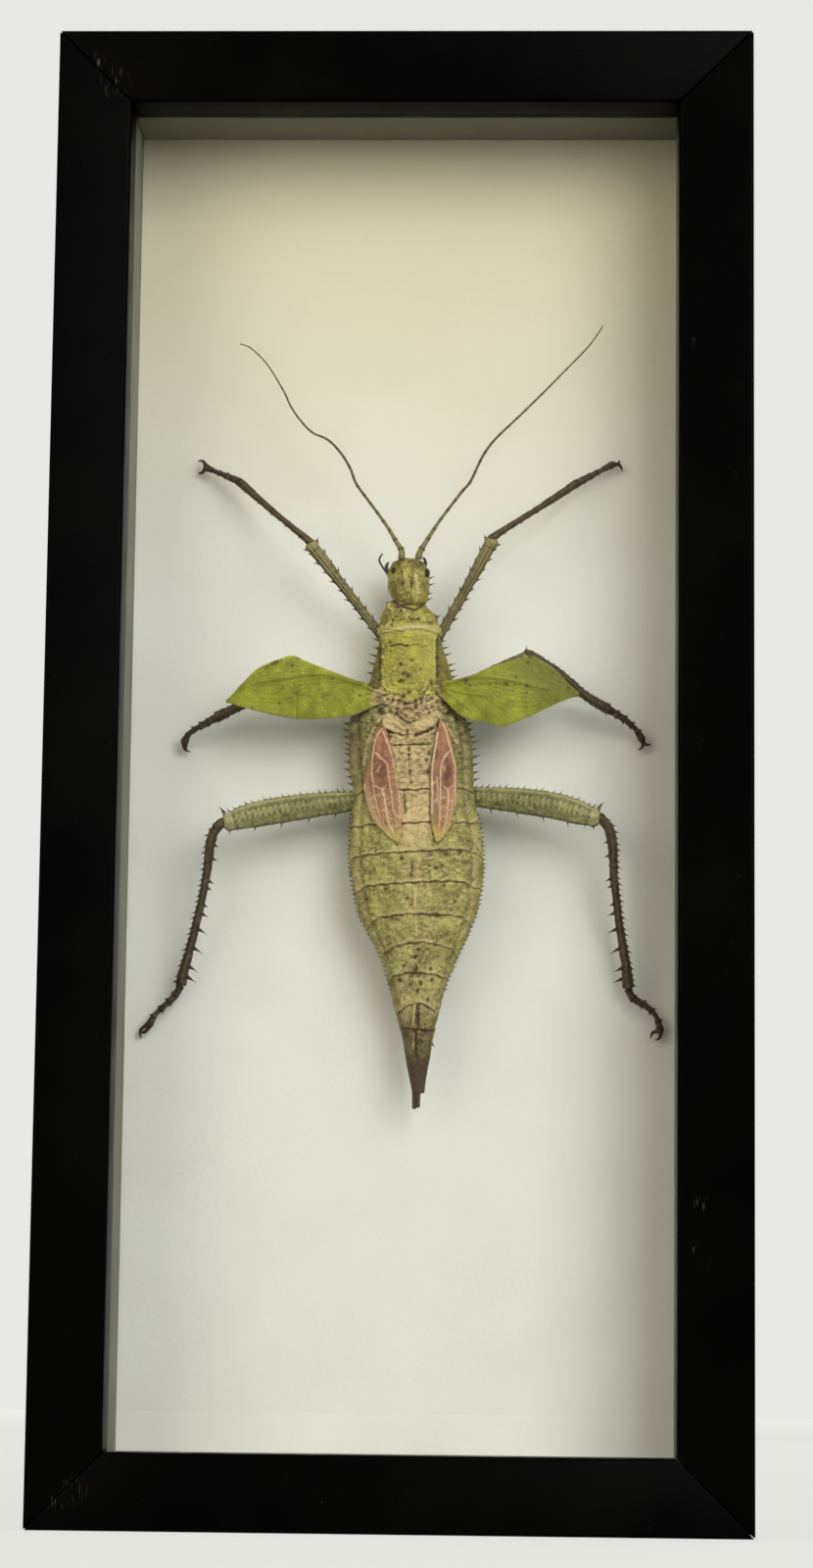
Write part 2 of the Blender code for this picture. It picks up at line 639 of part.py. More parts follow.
def build_leg(pair, side):
    """Femur, tibia and foot of one leg, each with its own spines."""
    out = -1.0 if side == "left" else 1.0
    green = material("pale_green_femur", (0.28, 0.3, 0.16), 0.55)
    olive = material("olive_brown_femur", (0.2, 0.18, 0.08), 0.55)
    brown = material("dark_brown_shin", (0.08, 0.05, 0.03), 0.5)
    shapes = {
        "fore": (FORE_FEMUR, FORE_FEMUR_WIDTH, 12, FORE_TIBIA, FORE_TIBIA_WIDTH, 8, FORE_TARSUS, olive),
        "middle": (
            MIDDLE_FEMUR, MIDDLE_FEMUR_WIDTH, 6, MIDDLE_TIBIA, MIDDLE_TIBIA_WIDTH, 10, MIDDLE_TARSUS, olive,
        ),
        "hind": (HIND_FEMUR, HIND_FEMUR_WIDTH, 14, HIND_TIBIA, HIND_TIBIA_WIDTH, 18, HIND_TARSUS, green),
    }
    femur, femur_width, femur_steps, tibia, tibia_width, tibia_steps, tarsus, colour = shapes[pair]

    bm = bmesh.new()
    bands, caps = limb(bm, femur[side], femur_width, femur_steps)
    upper = Vector((0.0, 0.0, 1.0)) if pair != "fore" else Vector((out, 0.0, -0.8))
    if pair == "hind":
        spines_along(bm, bands, upper, 1, 1, 1.0, 0.3)
        spines_along(bm, bands, -upper, 3, 1, 1.6, 0.4)
        grow_spine(bm, towards(bands[-1], Vector((out, -0.3, 1.0))), 2.4, 0.5)
    if pair == "fore":
        spines_along(bm, bands, upper, 2, 1, 1.3, 0.35)
        spines_along(bm, bands, -upper, 2, 2, 1.3, 0.35)
    if pair == "middle":
        grow_spine(bm, towards(bands[-2], upper), 1.4, 0.4)
    finish(bm, f"{pair}_femur_{side}", colour)

    bm = bmesh.new()
    bands, caps = limb(bm, tibia[side], tibia_width, tibia_steps)
    inner = Vector((-out, 0.0, -0.2))
    if pair == "hind":
        spines_along(bm, bands, inner, 2, 3, 1.6, 0.4, taper=1.8)
        spines_along(bm, bands, -inner, 1, 2, 0.6, 0.4)
    if pair == "middle":
        spines_along(bm, bands, Vector((0.0, 0.0, -1.0)), 3, 2, 1.1, 0.4)
    finish(bm, f"{pair}_tibia_{side}", olive if pair == "fore" else brown)

    bm = bmesh.new()
    points = [Vector(p) for p in tarsus[side]]
    bands, caps = limb(bm, points, TARSUS_WIDTH, 2 * (len(points) - 1), sides=6, flat=0.8)
    along = (points[-1] - points[-2]).normalized()
    build_claws(bm, caps[1], along, along.cross(VIEWER).normalized())
    finish(bm, f"{pair}_foot_{side}", brown)


def build_glue(name, x, z, half):
    """A low dab of clear glue that holds the body off the backing."""
    middle, width, thick = station(MESOTHORAX if z > ABDOMEN[0][0] else ABDOMEN, z)
    top = BODY_DEPTH + thick + FIT + 0.1
    foot = BACKING_FRONT - FIT
    rings = []
    for depth, scale in ((top, 0.8), (mix(top, foot, 0.6), 0.95), (foot, 1.35)):
        ring = []
        for k in range(10):
            angle = k * math.tau / 10
            ring.append(place(x + half * scale * math.cos(angle), depth, z + half * scale * math.sin(angle)))
        rings.append(ring)
    bm = bmesh.new()
    loft(bm, rings)
    finish(bm, name, material("clear_glue", (0.7, 0.65, 0.5), 0.2))


def build_insect():
    """Every piece of the specimen, from the head to the feet."""
    build_head()
    build_thorax()
    build_abdomen()
    build_tegmen("tegmen_left", TEGMEN_LEFT)
    build_tegmen("tegmen_right", TEGMEN_RIGHT)
    build_hindwing("hindwing_left", HINDWING_LEFT)
    build_hindwing("hindwing_right", HINDWING_RIGHT)
    build_antenna("antenna_left", ANTENNA_LEFT)
    build_antenna("antenna_right", ANTENNA_RIGHT)
    for pair in ("fore", "middle", "hind"):
        for side in ("left", "right"):
            build_leg(pair, side)
    for name, (x, z, half) in GLUE_DABS.items():
        build_glue(name, x, z, half)


clear_scene()
build_frame()
build_hanger(build_case())
build_insect()
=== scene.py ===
"""Looks of a framed stick insect: every visible surface of the case and of the specimen.

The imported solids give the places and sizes. The insect's own sizes are in
millimetres: X to the right of the frame's centre line, D backwards from the
front face of the rails, and Z up from the frame's bottom edge.
"""

import logging
import math
from dataclasses import dataclass, field
from enum import Enum
from typing import Callable, Sequence

import bpy
import numpy as np
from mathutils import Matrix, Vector, noise


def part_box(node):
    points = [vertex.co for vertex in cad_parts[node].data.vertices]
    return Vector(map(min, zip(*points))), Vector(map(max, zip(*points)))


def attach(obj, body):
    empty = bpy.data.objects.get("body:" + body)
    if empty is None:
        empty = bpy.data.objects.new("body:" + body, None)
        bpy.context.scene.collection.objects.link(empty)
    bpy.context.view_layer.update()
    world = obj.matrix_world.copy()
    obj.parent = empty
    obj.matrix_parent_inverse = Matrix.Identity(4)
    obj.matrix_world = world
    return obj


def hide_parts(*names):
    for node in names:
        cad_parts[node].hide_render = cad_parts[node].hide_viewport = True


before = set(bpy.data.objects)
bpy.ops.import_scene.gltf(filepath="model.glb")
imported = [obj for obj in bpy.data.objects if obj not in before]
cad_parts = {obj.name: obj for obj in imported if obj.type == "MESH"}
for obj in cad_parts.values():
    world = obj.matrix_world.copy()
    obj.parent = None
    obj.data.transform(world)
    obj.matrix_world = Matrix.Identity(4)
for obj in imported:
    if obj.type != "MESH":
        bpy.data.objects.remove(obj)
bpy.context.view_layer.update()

MM = 0.001
BODY = "root"
LOG = logging.getLogger("specimen")
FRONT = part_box("frame_rail_left")[0].y
UP = np.array([0.0, 0.0, 1.0])
WELD = 2e-6
RIB = 0.35
Array = np.ndarray
Piece = bpy.types.Object
Material = bpy.types.Material
Socket = bpy.types.NodeSocket
Tree = bpy.types.NodeTree
Shape = Callable[[Array, Array], Array]
Rise = Callable[[Array, Array, Array], Array]
Root = tuple[Array, Array, Array, float, float]


# Small helpers for numbers


def ease(low: float, high: float, value: Array) -> Array:
    """Ease a value from 0 at low to 1 at high.

    Args:
        low: The value that gives 0.
        high: The value that gives 1, below low for a falling ramp.
        value: The values to ease.

    Returns:
        The eased values.
    """
    t = np.clip((value - low) / (high - low), 0.0, 1.0)
    return t * t * (3.0 - 2.0 * t)


def bump(value: Array, centre: float, width: float) -> Array:
    """A soft bump of height 1 about a centre."""
    return np.exp(-(((value - centre) / width) ** 2))


def curve(rows: Sequence[Sequence[float]], at: Array) -> Array:
    """Read a smooth curve through rows of numbers.

    Args:
        rows: The rows that the curve passes through.
        at: Positions along the list, 0 at its first row.

    Returns:
        One row for each position.
    """
    points = np.asarray(rows, dtype=float)
    last = len(points) - 1
    at = np.clip(np.asarray(at, dtype=float), 0.0, last)
    i = np.minimum(at.astype(int), last - 1)
    t = (at - i)[:, None]
    p0 = points[np.maximum(i - 1, 0)]
    p1 = points[i]
    p2 = points[i + 1]
    p3 = points[np.minimum(i + 2, last)]
    first = (p2 - p0) * t
    second = (2 * p0 - 5 * p1 + 4 * p2 - p3) * t**2
    third = (3 * p1 - p0 - 3 * p2 + p3) * t**3
    return 0.5 * (2 * p1 + first + second + third)


def profile(rows: Sequence[Sequence[float]], key: Array) -> Array:
    """Read the columns of a table whose first column is a height or a place.

    Args:
        rows: The table, its first column rising or falling all the way.
        key: Values of the first column.

    Returns:
        The other columns, smooth along the table.
    """
    dense = curve(rows, np.linspace(0, len(rows) - 1, 24 * len(rows)))
    order = np.argsort(dense[:, 0])
    columns = [np.interp(key, dense[order, 0], dense[order, k]) for k in range(1, dense.shape[1])]
    return np.stack(columns, axis=-1)


def grain(points: Array, size: float, seed: float = 0.0, octaves: int = 2) -> Array:
    """Soft noise from about -1 to 1 at points in millimetres.

    Args:
        points: The places, in millimetres.
        size: The size of one lump, in millimetres.
        seed: Moves the pattern.
        octaves: How many finer layers are added.

    Returns:
        One value for each point.
    """
    shift = Vector((seed * 7.1, seed * 3.7, seed * 5.3))
    scaled = points / size
    return np.array([noise.fractal(Vector(p) + shift, 0.6, 2.1, octaves) for p in scaled])


def away(line: Sequence[Sequence[float]], x: Array, z: Array) -> Array:
    """Distance of places from a line of corners, or from its one point.

    Args:
        line: The corners as X and Z.
        x: The places' X.
        z: The places' Z.

    Returns:
        The distances in millimetres.
    """
    places = np.stack([x, z], axis=-1)
    corners = np.asarray(line, dtype=float)
    best = np.linalg.norm(places - corners[0], axis=1)
    for first, last in zip(corners[:-1], corners[1:]):
        edge = last - first
        t = np.clip((places - first) @ edge / (edge @ edge), 0, 1)
        best = np.minimum(best, np.linalg.norm(places - first - t[:, None] * edge, axis=1))
    return best


def warped(points: Array, reach: float = 0.3) -> tuple[Array, Array]:
    """X and Z of places moved about a little, so that what is drawn there is never ruled.

    Args:
        points: The places, in millimetres.
        reach: How far they move.

    Returns:
        Their new X and Z.
    """
    flat = points * np.array([1.0, 0.0, 1.0])
    return points[:, 0] + reach * grain(flat, 0.8, 31.0, 2), points[:, 2] + reach * grain(flat, 0.8, 37.0, 2)


def place(points: Array) -> Array:
    """Turn rows of X, D, Z in millimetres into metres in the frame's own axes."""
    moved = np.array(points, dtype=float) * MM
    moved[:, 1] += FRONT
    return moved


# Small helpers for meshes


def deselect() -> None:
    """Leave nothing selected."""
    if bpy.context.object and bpy.context.object.mode != "OBJECT":
        bpy.ops.object.mode_set(mode="OBJECT")
    bpy.ops.object.select_all(action="DESELECT")


def activate(piece: Piece) -> None:
    """Select one piece and make it the active one."""
    deselect()
    piece.select_set(True)
    bpy.context.view_layer.objects.active = piece


def paint(piece: Piece, name: str, values: Array, top: float = 1.0) -> None:
    """Write one number for each vertex of a piece, kept between 0 and a top, for its material to read."""
    layer = piece.data.attributes.get(name) or piece.data.attributes.new(name, "FLOAT", "POINT")
    layer.data.foreach_set("value", np.clip(values, 0.0, top).astype(np.float32))


def weld(piece: Piece, gap: float = 0.0, flat_within: float = 0.0) -> None:
    """Merge a piece's doubles, dissolve its flat edges and turn its faces outwards.

    Args:
        piece: The piece.
        gap: How near doubles lie in metres, 0 to merge none.
        flat_within: The angle in degrees up to which an edge is flat, 0 to dissolve none.
    """
    activate(piece)
    bpy.ops.object.mode_set(mode="EDIT")
    bpy.ops.mesh.select_all(action="SELECT")
    if gap:
        bpy.ops.mesh.remove_doubles(threshold=gap)
    if flat_within:
        bpy.ops.mesh.dissolve_limited(angle_limit=math.radians(flat_within))
    bpy.ops.mesh.normals_make_consistent(inside=False)
    bpy.ops.object.mode_set(mode="OBJECT")


def settle(name: str, scale: Sequence[float]) -> Piece:
    """Scale the new primitive, keep its place and size in its mesh, and name it.

    Args:
        name: Its name.
        scale: Its scale along X, Y and Z.

    Returns:
        The piece.
    """
    piece = bpy.context.object
    piece.scale = scale
    bpy.ops.object.transform_apply(location=True, rotation=True, scale=True)
    piece.name = name
    return piece


def sheet_of(name: str, steps: int, sides: int, shape: Shape, closed: bool) -> Piece:
    """Shape a grid into a tube or a leaf, welded where its edges meet.

    Args:
        name: The piece's name.
        steps: Faces along it.
        sides: Faces round or across it.
        shape: Gives X, D, Z in millimetres for places along and across, both 0 to 1.
        closed: True for a tube, whose edges and ends are welded.

    Returns:
        The new piece.
    """
    deselect()
    bpy.ops.mesh.primitive_grid_add(x_subdivisions=steps, y_subdivisions=sides, size=1.0)
    piece = bpy.context.object
    piece.name = name
    mesh = piece.data
    flat = np.empty(len(mesh.vertices) * 3, dtype=np.float32)
    mesh.vertices.foreach_get("co", flat)
    flat = flat.reshape(-1, 3)
    along = np.round((flat[:, 0] + 0.5) * steps) / steps
    across = np.round((flat[:, 1] + 0.5) * sides) / sides
    mesh.vertices.foreach_set("co", place(shape(along, across)).astype(np.float32).ravel())
    paint(piece, "along", along)
    paint(piece, "across", across)
    mesh.update()
    if closed:
        weld(piece, WELD)
    bpy.ops.object.shade_smooth()
    return piece


def spots_of(piece: Piece) -> Array:
    """The piece's vertices as rows of X, D, Z in millimetres."""
    flat = np.empty(len(piece.data.vertices) * 3, dtype=np.float32)
    piece.data.vertices.foreach_get("co", flat)
    points = flat.reshape(-1, 3).astype(float)
    points[:, 1] -= FRONT
    return points / MM


def value_of(piece: Piece, name: str) -> Array:
    """The numbers painted on a piece under a name."""
    values = np.empty(len(piece.data.vertices), dtype=np.float32)
    piece.data.attributes[name].data.foreach_get("value", values)
    return values.astype(float)


def modify(piece: Piece, kind: str, **settings: object) -> None:
    """Add a modifier to a piece and apply it.

    Args:
        piece: The piece.
        kind: Blender's name for the modifier's type.
        settings: The modifier's own settings.
    """
    activate(piece)
    modifier = piece.modifiers.new(kind.title(), kind)
    for key, value in settings.items():
        setattr(modifier, key, value)
    bpy.ops.object.modifier_apply(modifier=modifier.name)


def join(main: Piece, others: Sequence[Piece]) -> Piece:
    """Join other pieces into a main one.

    Args:
        main: The piece that stays.
        others: The pieces that go into it.

    Returns:
        The main piece.
    """
    activate(main)
    for other in others:
        other.select_set(True)
    bpy.ops.object.join()
    return main


def dress(piece: Piece, material: Material, slot: str, *nodes: str) -> None:
    """Give a piece its finish, its place on the object and the solids it stands for.

    Args:
        piece: The finished piece.
        material: Its finish.
        slot: The record's material slot that it belongs to; not used.
        nodes: The solids it replaces.
    """
    piece.data.materials.clear()
    piece.data.materials.append(material)
    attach(piece, BODY)
    if nodes:
        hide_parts(*nodes)
    LOG.info("%s: %d faces", piece.name, len(piece.data.polygons))


@dataclass
class Thorn:
    """One kind of spine: a bent cone, modelled once and copied along an edge."""

    sides: int = 7
    bend: float = 0.18
    stout: float = 1.3
    rings: tuple[float, float] = (-0.25, 0.1)

    def template(self) -> tuple[Array, list[tuple[int, ...]]]:
        """Model one spine of unit length along +Z, slimmer towards its point.

        Returns:
            Its points and its faces.
        """
        deselect()
        bpy.ops.mesh.primitive_cone_add(vertices=self.sides, radius1=1, radius2=0.06, depth=1)
        cone = bpy.context.object
        bpy.ops.object.mode_set(mode="EDIT")
        for height in self.rings:
            bpy.ops.mesh.select_all(action="SELECT")
            bpy.ops.mesh.bisect(plane_co=(0, 0, height), plane_no=(0, 0, 1))
        bpy.ops.object.mode_set(mode="OBJECT")
        points = np.array([tuple(v.co) for v in cone.data.vertices])
        points[:, 2] += 0.5
        points[:, :2] *= (0.35 + 0.65 * (1 - points[:, 2:]) ** 1.2)
        faces = [tuple(face.vertices) for face in cone.data.polygons]
        bpy.data.objects.remove(cone, do_unlink=True)
        return points, faces

    def cluster(self, name: str, roots: Sequence[Root]) -> Piece:
        """Copy the spine to each root.

        Args:
            name: The name of the joined spines.
            roots: For each spine its root, its direction, the way its point bends,
                its length and its width at the root, in millimetres.

        Returns:
            One object with every spine in it.
        """
        points, faces = self.template()
        count, height = len(points), points[:, 2]
        all_points, all_faces = [], []
        for i, (root, direction, bend, length, width) in enumerate(roots):
            up = direction / np.linalg.norm(direction)
            side = bend - up * np.dot(bend, up)
            side = side / max(1e-6, np.linalg.norm(side))
            half = width * self.stout / 2
            hook = self.bend * height**2 * length
            spot = root + np.outer(height * length, up) + np.outer(points[:, 0] * half + hook, side)
            all_points.append(spot + np.outer(points[:, 1] * half, np.cross(up, side)))
            all_faces += [tuple(v + i * count for v in face) for face in faces]
        mesh = bpy.data.meshes.new(name)
        mesh.from_pydata(place(np.concatenate(all_points)).tolist(), [], all_faces)
        piece = bpy.data.objects.new(name, mesh)
        bpy.context.scene.collection.objects.link(piece)
        paint(piece, "tip", np.tile(height, len(roots)))
        weld(piece)
        bpy.ops.object.shade_smooth()
        return piece


# Small helpers for materials


def colour(code: str) -> tuple[float, float, float, float]:
    """Turn an sRGB hex code into a linear colour.

    Args:
        code: Six hex digits.

    Returns:
        Red, green, blue and alpha.
    """
    parts = [int(code[i : i + 2], 16) / 255 for i in (0, 2, 4)]
    linear = [c / 12.92 if c <= 0.04045 else ((c + 0.055) / 1.055) ** 2.4 for c in parts]
    return (*linear, 1.0)


def feed(tree: Tree, node: bpy.types.Node, inputs: dict) -> None:
    """Set or link a node's inputs.

    Args:
        tree: The node tree.
        node: The node.
        inputs: A value or an output socket for each named or numbered input.
    """
    for key, value in inputs.items():
        if isinstance(value, Socket):
            tree.links.new(value, node.inputs[key])
        else:
            node.inputs[key].default_value = value


def add(tree: Tree, kind: str, inputs: dict | None = None, **settings: object) -> bpy.types.Node:
    """Add a node with its settings and links.

    Args:
        tree: The node tree.
        kind: The shader node's type.
        inputs: A value or an output socket for each named or numbered input.
        settings: The node's own settings.

    Returns:
        The new node.
    """
    made = tree.nodes.new(f"ShaderNode{kind}")
    for key, value in settings.items():
        setattr(made, key, value)
    feed(tree, made, inputs or {})
    return made


@dataclass
class Coat:
    """A material while it is mixed: its nodes, and the tone laid on it so far."""

    name: str
    main: str

    def __post_init__(self) -> None:
        """Start the material in its plain main colour."""
        self.material = bpy.data.materials.new(self.name)
        self.material.use_nodes = True
        self.tree = self.material.node_tree
        self.shader = self.tree.nodes["Principled BSDF"]
        self.places = add(self.tree, "TexCoord").outputs["Object"]
        self.tone: Socket | tuple = colour(self.main)

    def lumps(self, size_mm: float, detail: float = 3.0, seed: float = 0.0) -> Socket:
        """Uneven lumps of a real size, moved by a seed and with some finer detail, as values 0 to 1."""
        moved = add(self.tree, "Mapping", {"Vector": self.places, "Location": (seed, seed, seed)})
        settings = {"Vector": moved.outputs[0], "Scale": 1 / (size_mm * MM), "Detail": detail}
        return add(self.tree, "TexNoise", settings).outputs["Fac"]

    def lay(
        self, tone: str, pattern: Socket | str, low: float = 0.0, high: float = 1.0, top: float = 1.0,
        within: Socket | float = 1,
    ) -> None:
        """Lay a tone over what is there, where a pattern is strong.

        Args:
            tone: The hex code of the tone.
            pattern: The pattern's values, or the name of the numbers painted on the piece.
            low: The value up to which nothing of the tone shows.
            high: The value from which the tone shows most.
            top: How much of the tone shows there.
            within: How much of all that is kept.
        """
        if isinstance(pattern, str):
            pattern = add(self.tree, "Attribute", attribute_name=pattern).outputs["Fac"]
        stretch = {"Value": pattern, "From Min": low, "From Max": high, "To Max": top}
        share = add(self.tree, "MapRange", stretch).outputs["Result"]
        kept = add(self.tree, "Math", {0: share, 1: within}, operation="MULTIPLY").outputs[0]
        mixer = add(self.tree, "Mix", {0: kept, 6: self.tone, 7: colour(tone)}, data_type="RGBA")
        self.tone = mixer.outputs[2]

    def done(self, height: Socket, depth_mm: float, share: float, inputs: dict) -> Material:
        """Give the shader its tone, its relief and its other values.

        Args:
            height: The pattern that raises the surface.
            depth_mm: The depth of the relief.
            share: How much of the relief shows.
            inputs: A value or a socket for each other input of the shader.

        Returns:
            The finished material.
        """
        raised = {"Height": height, "Distance": depth_mm * MM, "Strength": share}
        normal = add(self.tree, "Bump", raised).outputs[0]
        feed(self.tree, self.shader, {"Base Color": self.tone, "Normal": normal, **inputs})
        return self.material


@dataclass(frozen=True)
class Finish:
    """What each finish has: a name, under which its material is mixed once, and a main colour."""

    name: str
    main: str

    def material(self) -> Material:
        """Mix the material, or give it again if it is there."""
        return bpy.data.materials.get(self.name) or self.mix(Coat(self.name, self.main))

    def mix(self, coat: Coat) -> Material:
        """Lay the finish's tones on a plain coat; each kind of finish has its own way."""
        return coat.material


@dataclass(frozen=True)
class DryShell(Finish):
    """Dried insect cuticle: waxy, mottled, darker in its seams and at its spines' tips; its painted pale and
    dark tones also hold painted highlight and painted shade.
    """

    shade: str
    spot: str
    pale: str
    dark: str
    patch_mm: float = 3.5
    spot_mm: float = 0.75
    spot_from: float = 0.6
    rough: float = 0.5
    horn: str = "3A2616"

    def mix(self, coat: Coat) -> Material:
        """Lay patches, freckles, the painted tones, which also hold painted highlight and painted shade,
        groups of spots and dark spine tips.
        """
        coat.lay(self.shade, coat.lumps(self.patch_mm, 4), 0.38, 0.62)
        coat.lay(self.pale, coat.lumps(1.3, 4, 0.3), 0.5, 0.68, 0.55)
        coat.lay(self.shade, coat.lumps(0.9, 4, 0.6), 0.52, 0.66, 0.62)
        # The painted pale tone includes painted highlights on raised tops.
        coat.lay(self.pale, "pale")
        spots, low = coat.lumps(self.spot_mm, 2, 0.7), self.spot_from
        coat.lay(self.spot, spots, low, low + 0.05, 0.9, self.groups(coat))
        # The painted dark tone includes painted shade in pits, seams and round raised marks.
        coat.lay(self.dark, "dark")
        coat.lay(self.horn, "tip", 0.02, 0.45, 0.92)
        wax = {
            "Value": coat.lumps(1.2, 3, 0.2), "From Min": 0.3, "From Max": 0.7,
            "To Min": self.rough - 0.1, "To Max": self.rough + 0.12,
        }
        rough = add(coat.tree, "MapRange", wax).outputs["Result"]
        grit = {0: coat.lumps(0.35, 3), 1: coat.lumps(1.1, 2, 0.5)}
        pits = add(coat.tree, "Math", grit, operation="ADD").outputs[0]
        return coat.done(pits, 0.4, 0.7, {"Roughness": rough, "IOR": 1.5})

    def groups(self, coat: Coat) -> Socket:
        """Where spots stand: in groups, and hardly on what is painted pale."""
        pale = add(coat.tree, "Attribute", attribute_name="pale").outputs["Fac"]
        bare = add(coat.tree, "Math", {0: pale, 1: -0.75, 2: 1}, operation="MULTIPLY_ADD").outputs[0]
        area = {"Value": coat.lumps(6, 2, 0.9), "From Min": 0.42, "From Max": 0.6, "To Max": bare}
        return add(coat.tree, "MapRange", area).outputs["Result"]


@dataclass(frozen=True)
class LeafWing(Finish):
    """Parchment-like fore wing: leaf green, with fine netted veins and old brown flecks."""

    name: str = "leaf_green_wing_parchment"
    main: str = "9A9C2C"
    shade: str = "7C801E"
    glow: str = "B2B63C"
    pale: str = "C4C85A"
    vein: str = "666A1E"
    fleck: str = "4A3814"
    root: str = "B39C74"
    cell_mm: float = 0.9

    def mix(self, coat: Coat) -> Material:
        """Lay green patches, a fine net, the painted veins with painted shade on the outer part and lower
        edge, the pale tone with a painted highlight along the upper edge, flecks and the torn-looking root.
        """
        coat.lay(self.shade, coat.lumps(5, 4), 0.35, 0.65)
        coat.lay(self.glow, coat.lumps(2.2, 3, 0.4), 0.5, 0.75, 0.6)
        net = {"Vector": coat.places, "Scale": 1 / (self.cell_mm * MM)}
        inner = add(coat.tree, "TexVoronoi", net, feature="DISTANCE_TO_EDGE").outputs["Distance"]
        coat.lay(self.vein, inner, 0.10, 0, 0.45)
        coat.lay(self.pale, "pale")
        # The vein colour also lays the painted shade over the outer part and the lower edge.
        coat.lay(self.vein, "vein")
        coat.lay(self.fleck, coat.lumps(0.8, 3, 0.6), 0.66, 0.72, 0.85)
        coat.lay(self.root, "root")
        coat.lay(self.fleck, "dark")
        soft = {"Subsurface Weight": 0.12, "Subsurface Radius": (0.6, 1, 0.3), "Subsurface Scale": 0.0006}
        return coat.done(inner, 0.12, 0.5, {"Roughness": 0.55, "Specular IOR Level": 0.3, **soft})


@dataclass(frozen=True)
class PinkMembrane(Finish):
    """Soft hind wing: a thin pink membrane held by peach veins, yellow at its tip."""

    name: str = "pink_wing_membrane"
    main: str = "AA764E"
    shade: str = "8C5A40"
    dark: str = "6A3C26"
    pale: str = "C09878"
    tip: str = "B4A452"
    vein: str = "D8B48E"

    def mix(self, coat: Coat) -> Material:
        """Lay soft patches and the painted folds, the painted glint, tip and veins."""
        coat.lay(self.shade, coat.lumps(3, 4), 0.35, 0.65)
        coat.lay(self.dark, "dark")
        coat.lay(self.pale, "pale")
        coat.lay(self.tip, "tip")
        coat.lay(self.vein, "vein")
        return coat.done(coat.lumps(0.4, 3), 0.1, 0.5, {"Roughness": 0.4, "IOR": 1.5, "Sheen Weight": 0.15})


@dataclass(frozen=True)
class PaintedMoulding(Finish):
    """Satin black paint over sanded wood: even, with faint grain, dust and a few scuffs."""

    name: str = "satin_black_painted_moulding"
    main: str = "020202"
    cloud: str = "070706"
    dust: str = "3A3A36"
    scuffed: str = "66665E"
    scuffs: tuple = (
        (-79.5, 390, 5), (-84, 396, 3), (-82, 10.5, 4.5), (-86.5, 7, 2.5),
        (78.6, 317.5, 1.6), (81, 86, 2.6), (83, 70.5, 2.2), (79.5, 74, 1.4),
    )
    scratch_turn: float = 48.0
    scratch_scale: tuple[float, float, float] = (2600.0, 400.0, 260.0)

    def mix(self, coat: Coat) -> Material:
        """Lay faint clouds, specks of dust, and slanting scratches inside the scuffed places."""
        coat.lay(self.cloud, coat.lumps(40, 3), 0.35, 0.7)
        coat.lay(self.dust, coat.lumps(0.9, 1, 0.4), 0.765, 0.79, 0.5)
        turn = {"Rotation": (0, math.radians(self.scratch_turn), 0), "Scale": self.scratch_scale}
        turned = add(coat.tree, "Mapping", {"Vector": coat.places, **turn}).outputs[0]
        scratches = {"Vector": turned, "Scale": 1, "Detail": 3}
        streaks = add(coat.tree, "TexNoise", scratches).outputs["Fac"]
        coat.lay(self.scuffed, streaks, 0.58, 0.7, 0.5, self.worn(coat))
        satin = {"Value": coat.lumps(6, 4), "To Min": 0.3, "To Max": 0.48}
        rough = add(coat.tree, "MapRange", satin).outputs["Result"]
        shine = {"Roughness": rough, "Specular IOR Level": 0.025}
        return coat.done(coat.lumps(0.6, 3, 0.1), 0.05, 0.25, shine)

    def worn(self, coat: Coat) -> Socket:
        """Where the paint is scuffed: 1 in the middle of each scuffed place, 0 outside them."""
        worn = 0
        for x, z, reach in self.scuffs:
            centre = {0: coat.places, 1: (x * MM, FRONT, z * MM)}
            gap = add(coat.tree, "VectorMath", centre, operation="DISTANCE").outputs["Value"]
            ring = {"Value": gap, "From Min": reach * MM, "From Max": 0.25 * reach * MM}
            near = add(coat.tree, "MapRange", ring).outputs["Result"]
            worn = add(coat.tree, "Math", {0: worn, 1: near}, operation="MAXIMUM").outputs[0]
        return worn


@dataclass(frozen=True)
class MattBoard(Finish):
    """Matt paper-faced board with faint fibres and a soft tooth; a dimmer, yellower tone can be laid over its
    upper part as painted warm light.
    """

    shade: str
    fibre_mm: float = 1.2
    depth_mm: float = 0.1
    rough: float = 0.85
    # The tone of the painted warm light over the upper part, None for none, and the heights in millimetres
    # where it begins and is full.
    warm_light_tone: str | None = None
    warm_light_span: tuple[float, float] = (275.0, 375.0)

    def mix(self, coat: Coat) -> Material:
        """Lay soft clouds, fibres and the painted warm light over the upper part, whose lower edge is uneven.
        """
        coat.lay(self.shade, coat.lumps(25, 4), 0.3, 0.7, 0.7)
        coat.lay(self.shade, coat.lumps(self.fibre_mm, 5, 0.8), 0.55, 0.75, 0.35)
        # Painted warm light: a dimmer, yellower tone over the upper part, fading out downwards along an uneven
        # edge.
        if self.warm_light_tone:
            height = add(coat.tree, "SeparateXYZ", {0: coat.places}).outputs["Z"]
            wave = {0: coat.lumps(70, 2, 0.3), 1: 40 * MM, 2: height}
            uneven = add(coat.tree, "Math", wave, operation="MULTIPLY_ADD").outputs[0]
            coat.lay(self.warm_light_tone, uneven, self.warm_light_span[0] * MM, self.warm_light_span[1] * MM)
        tooth = {0: coat.lumps(self.fibre_mm, 5), 1: coat.lumps(7, 2, 0.6)}
        tooth = add(coat.tree, "Math", tooth, operation="ADD").outputs[0]
        return coat.done(tooth, self.depth_mm, 0.5, {"Roughness": self.rough})


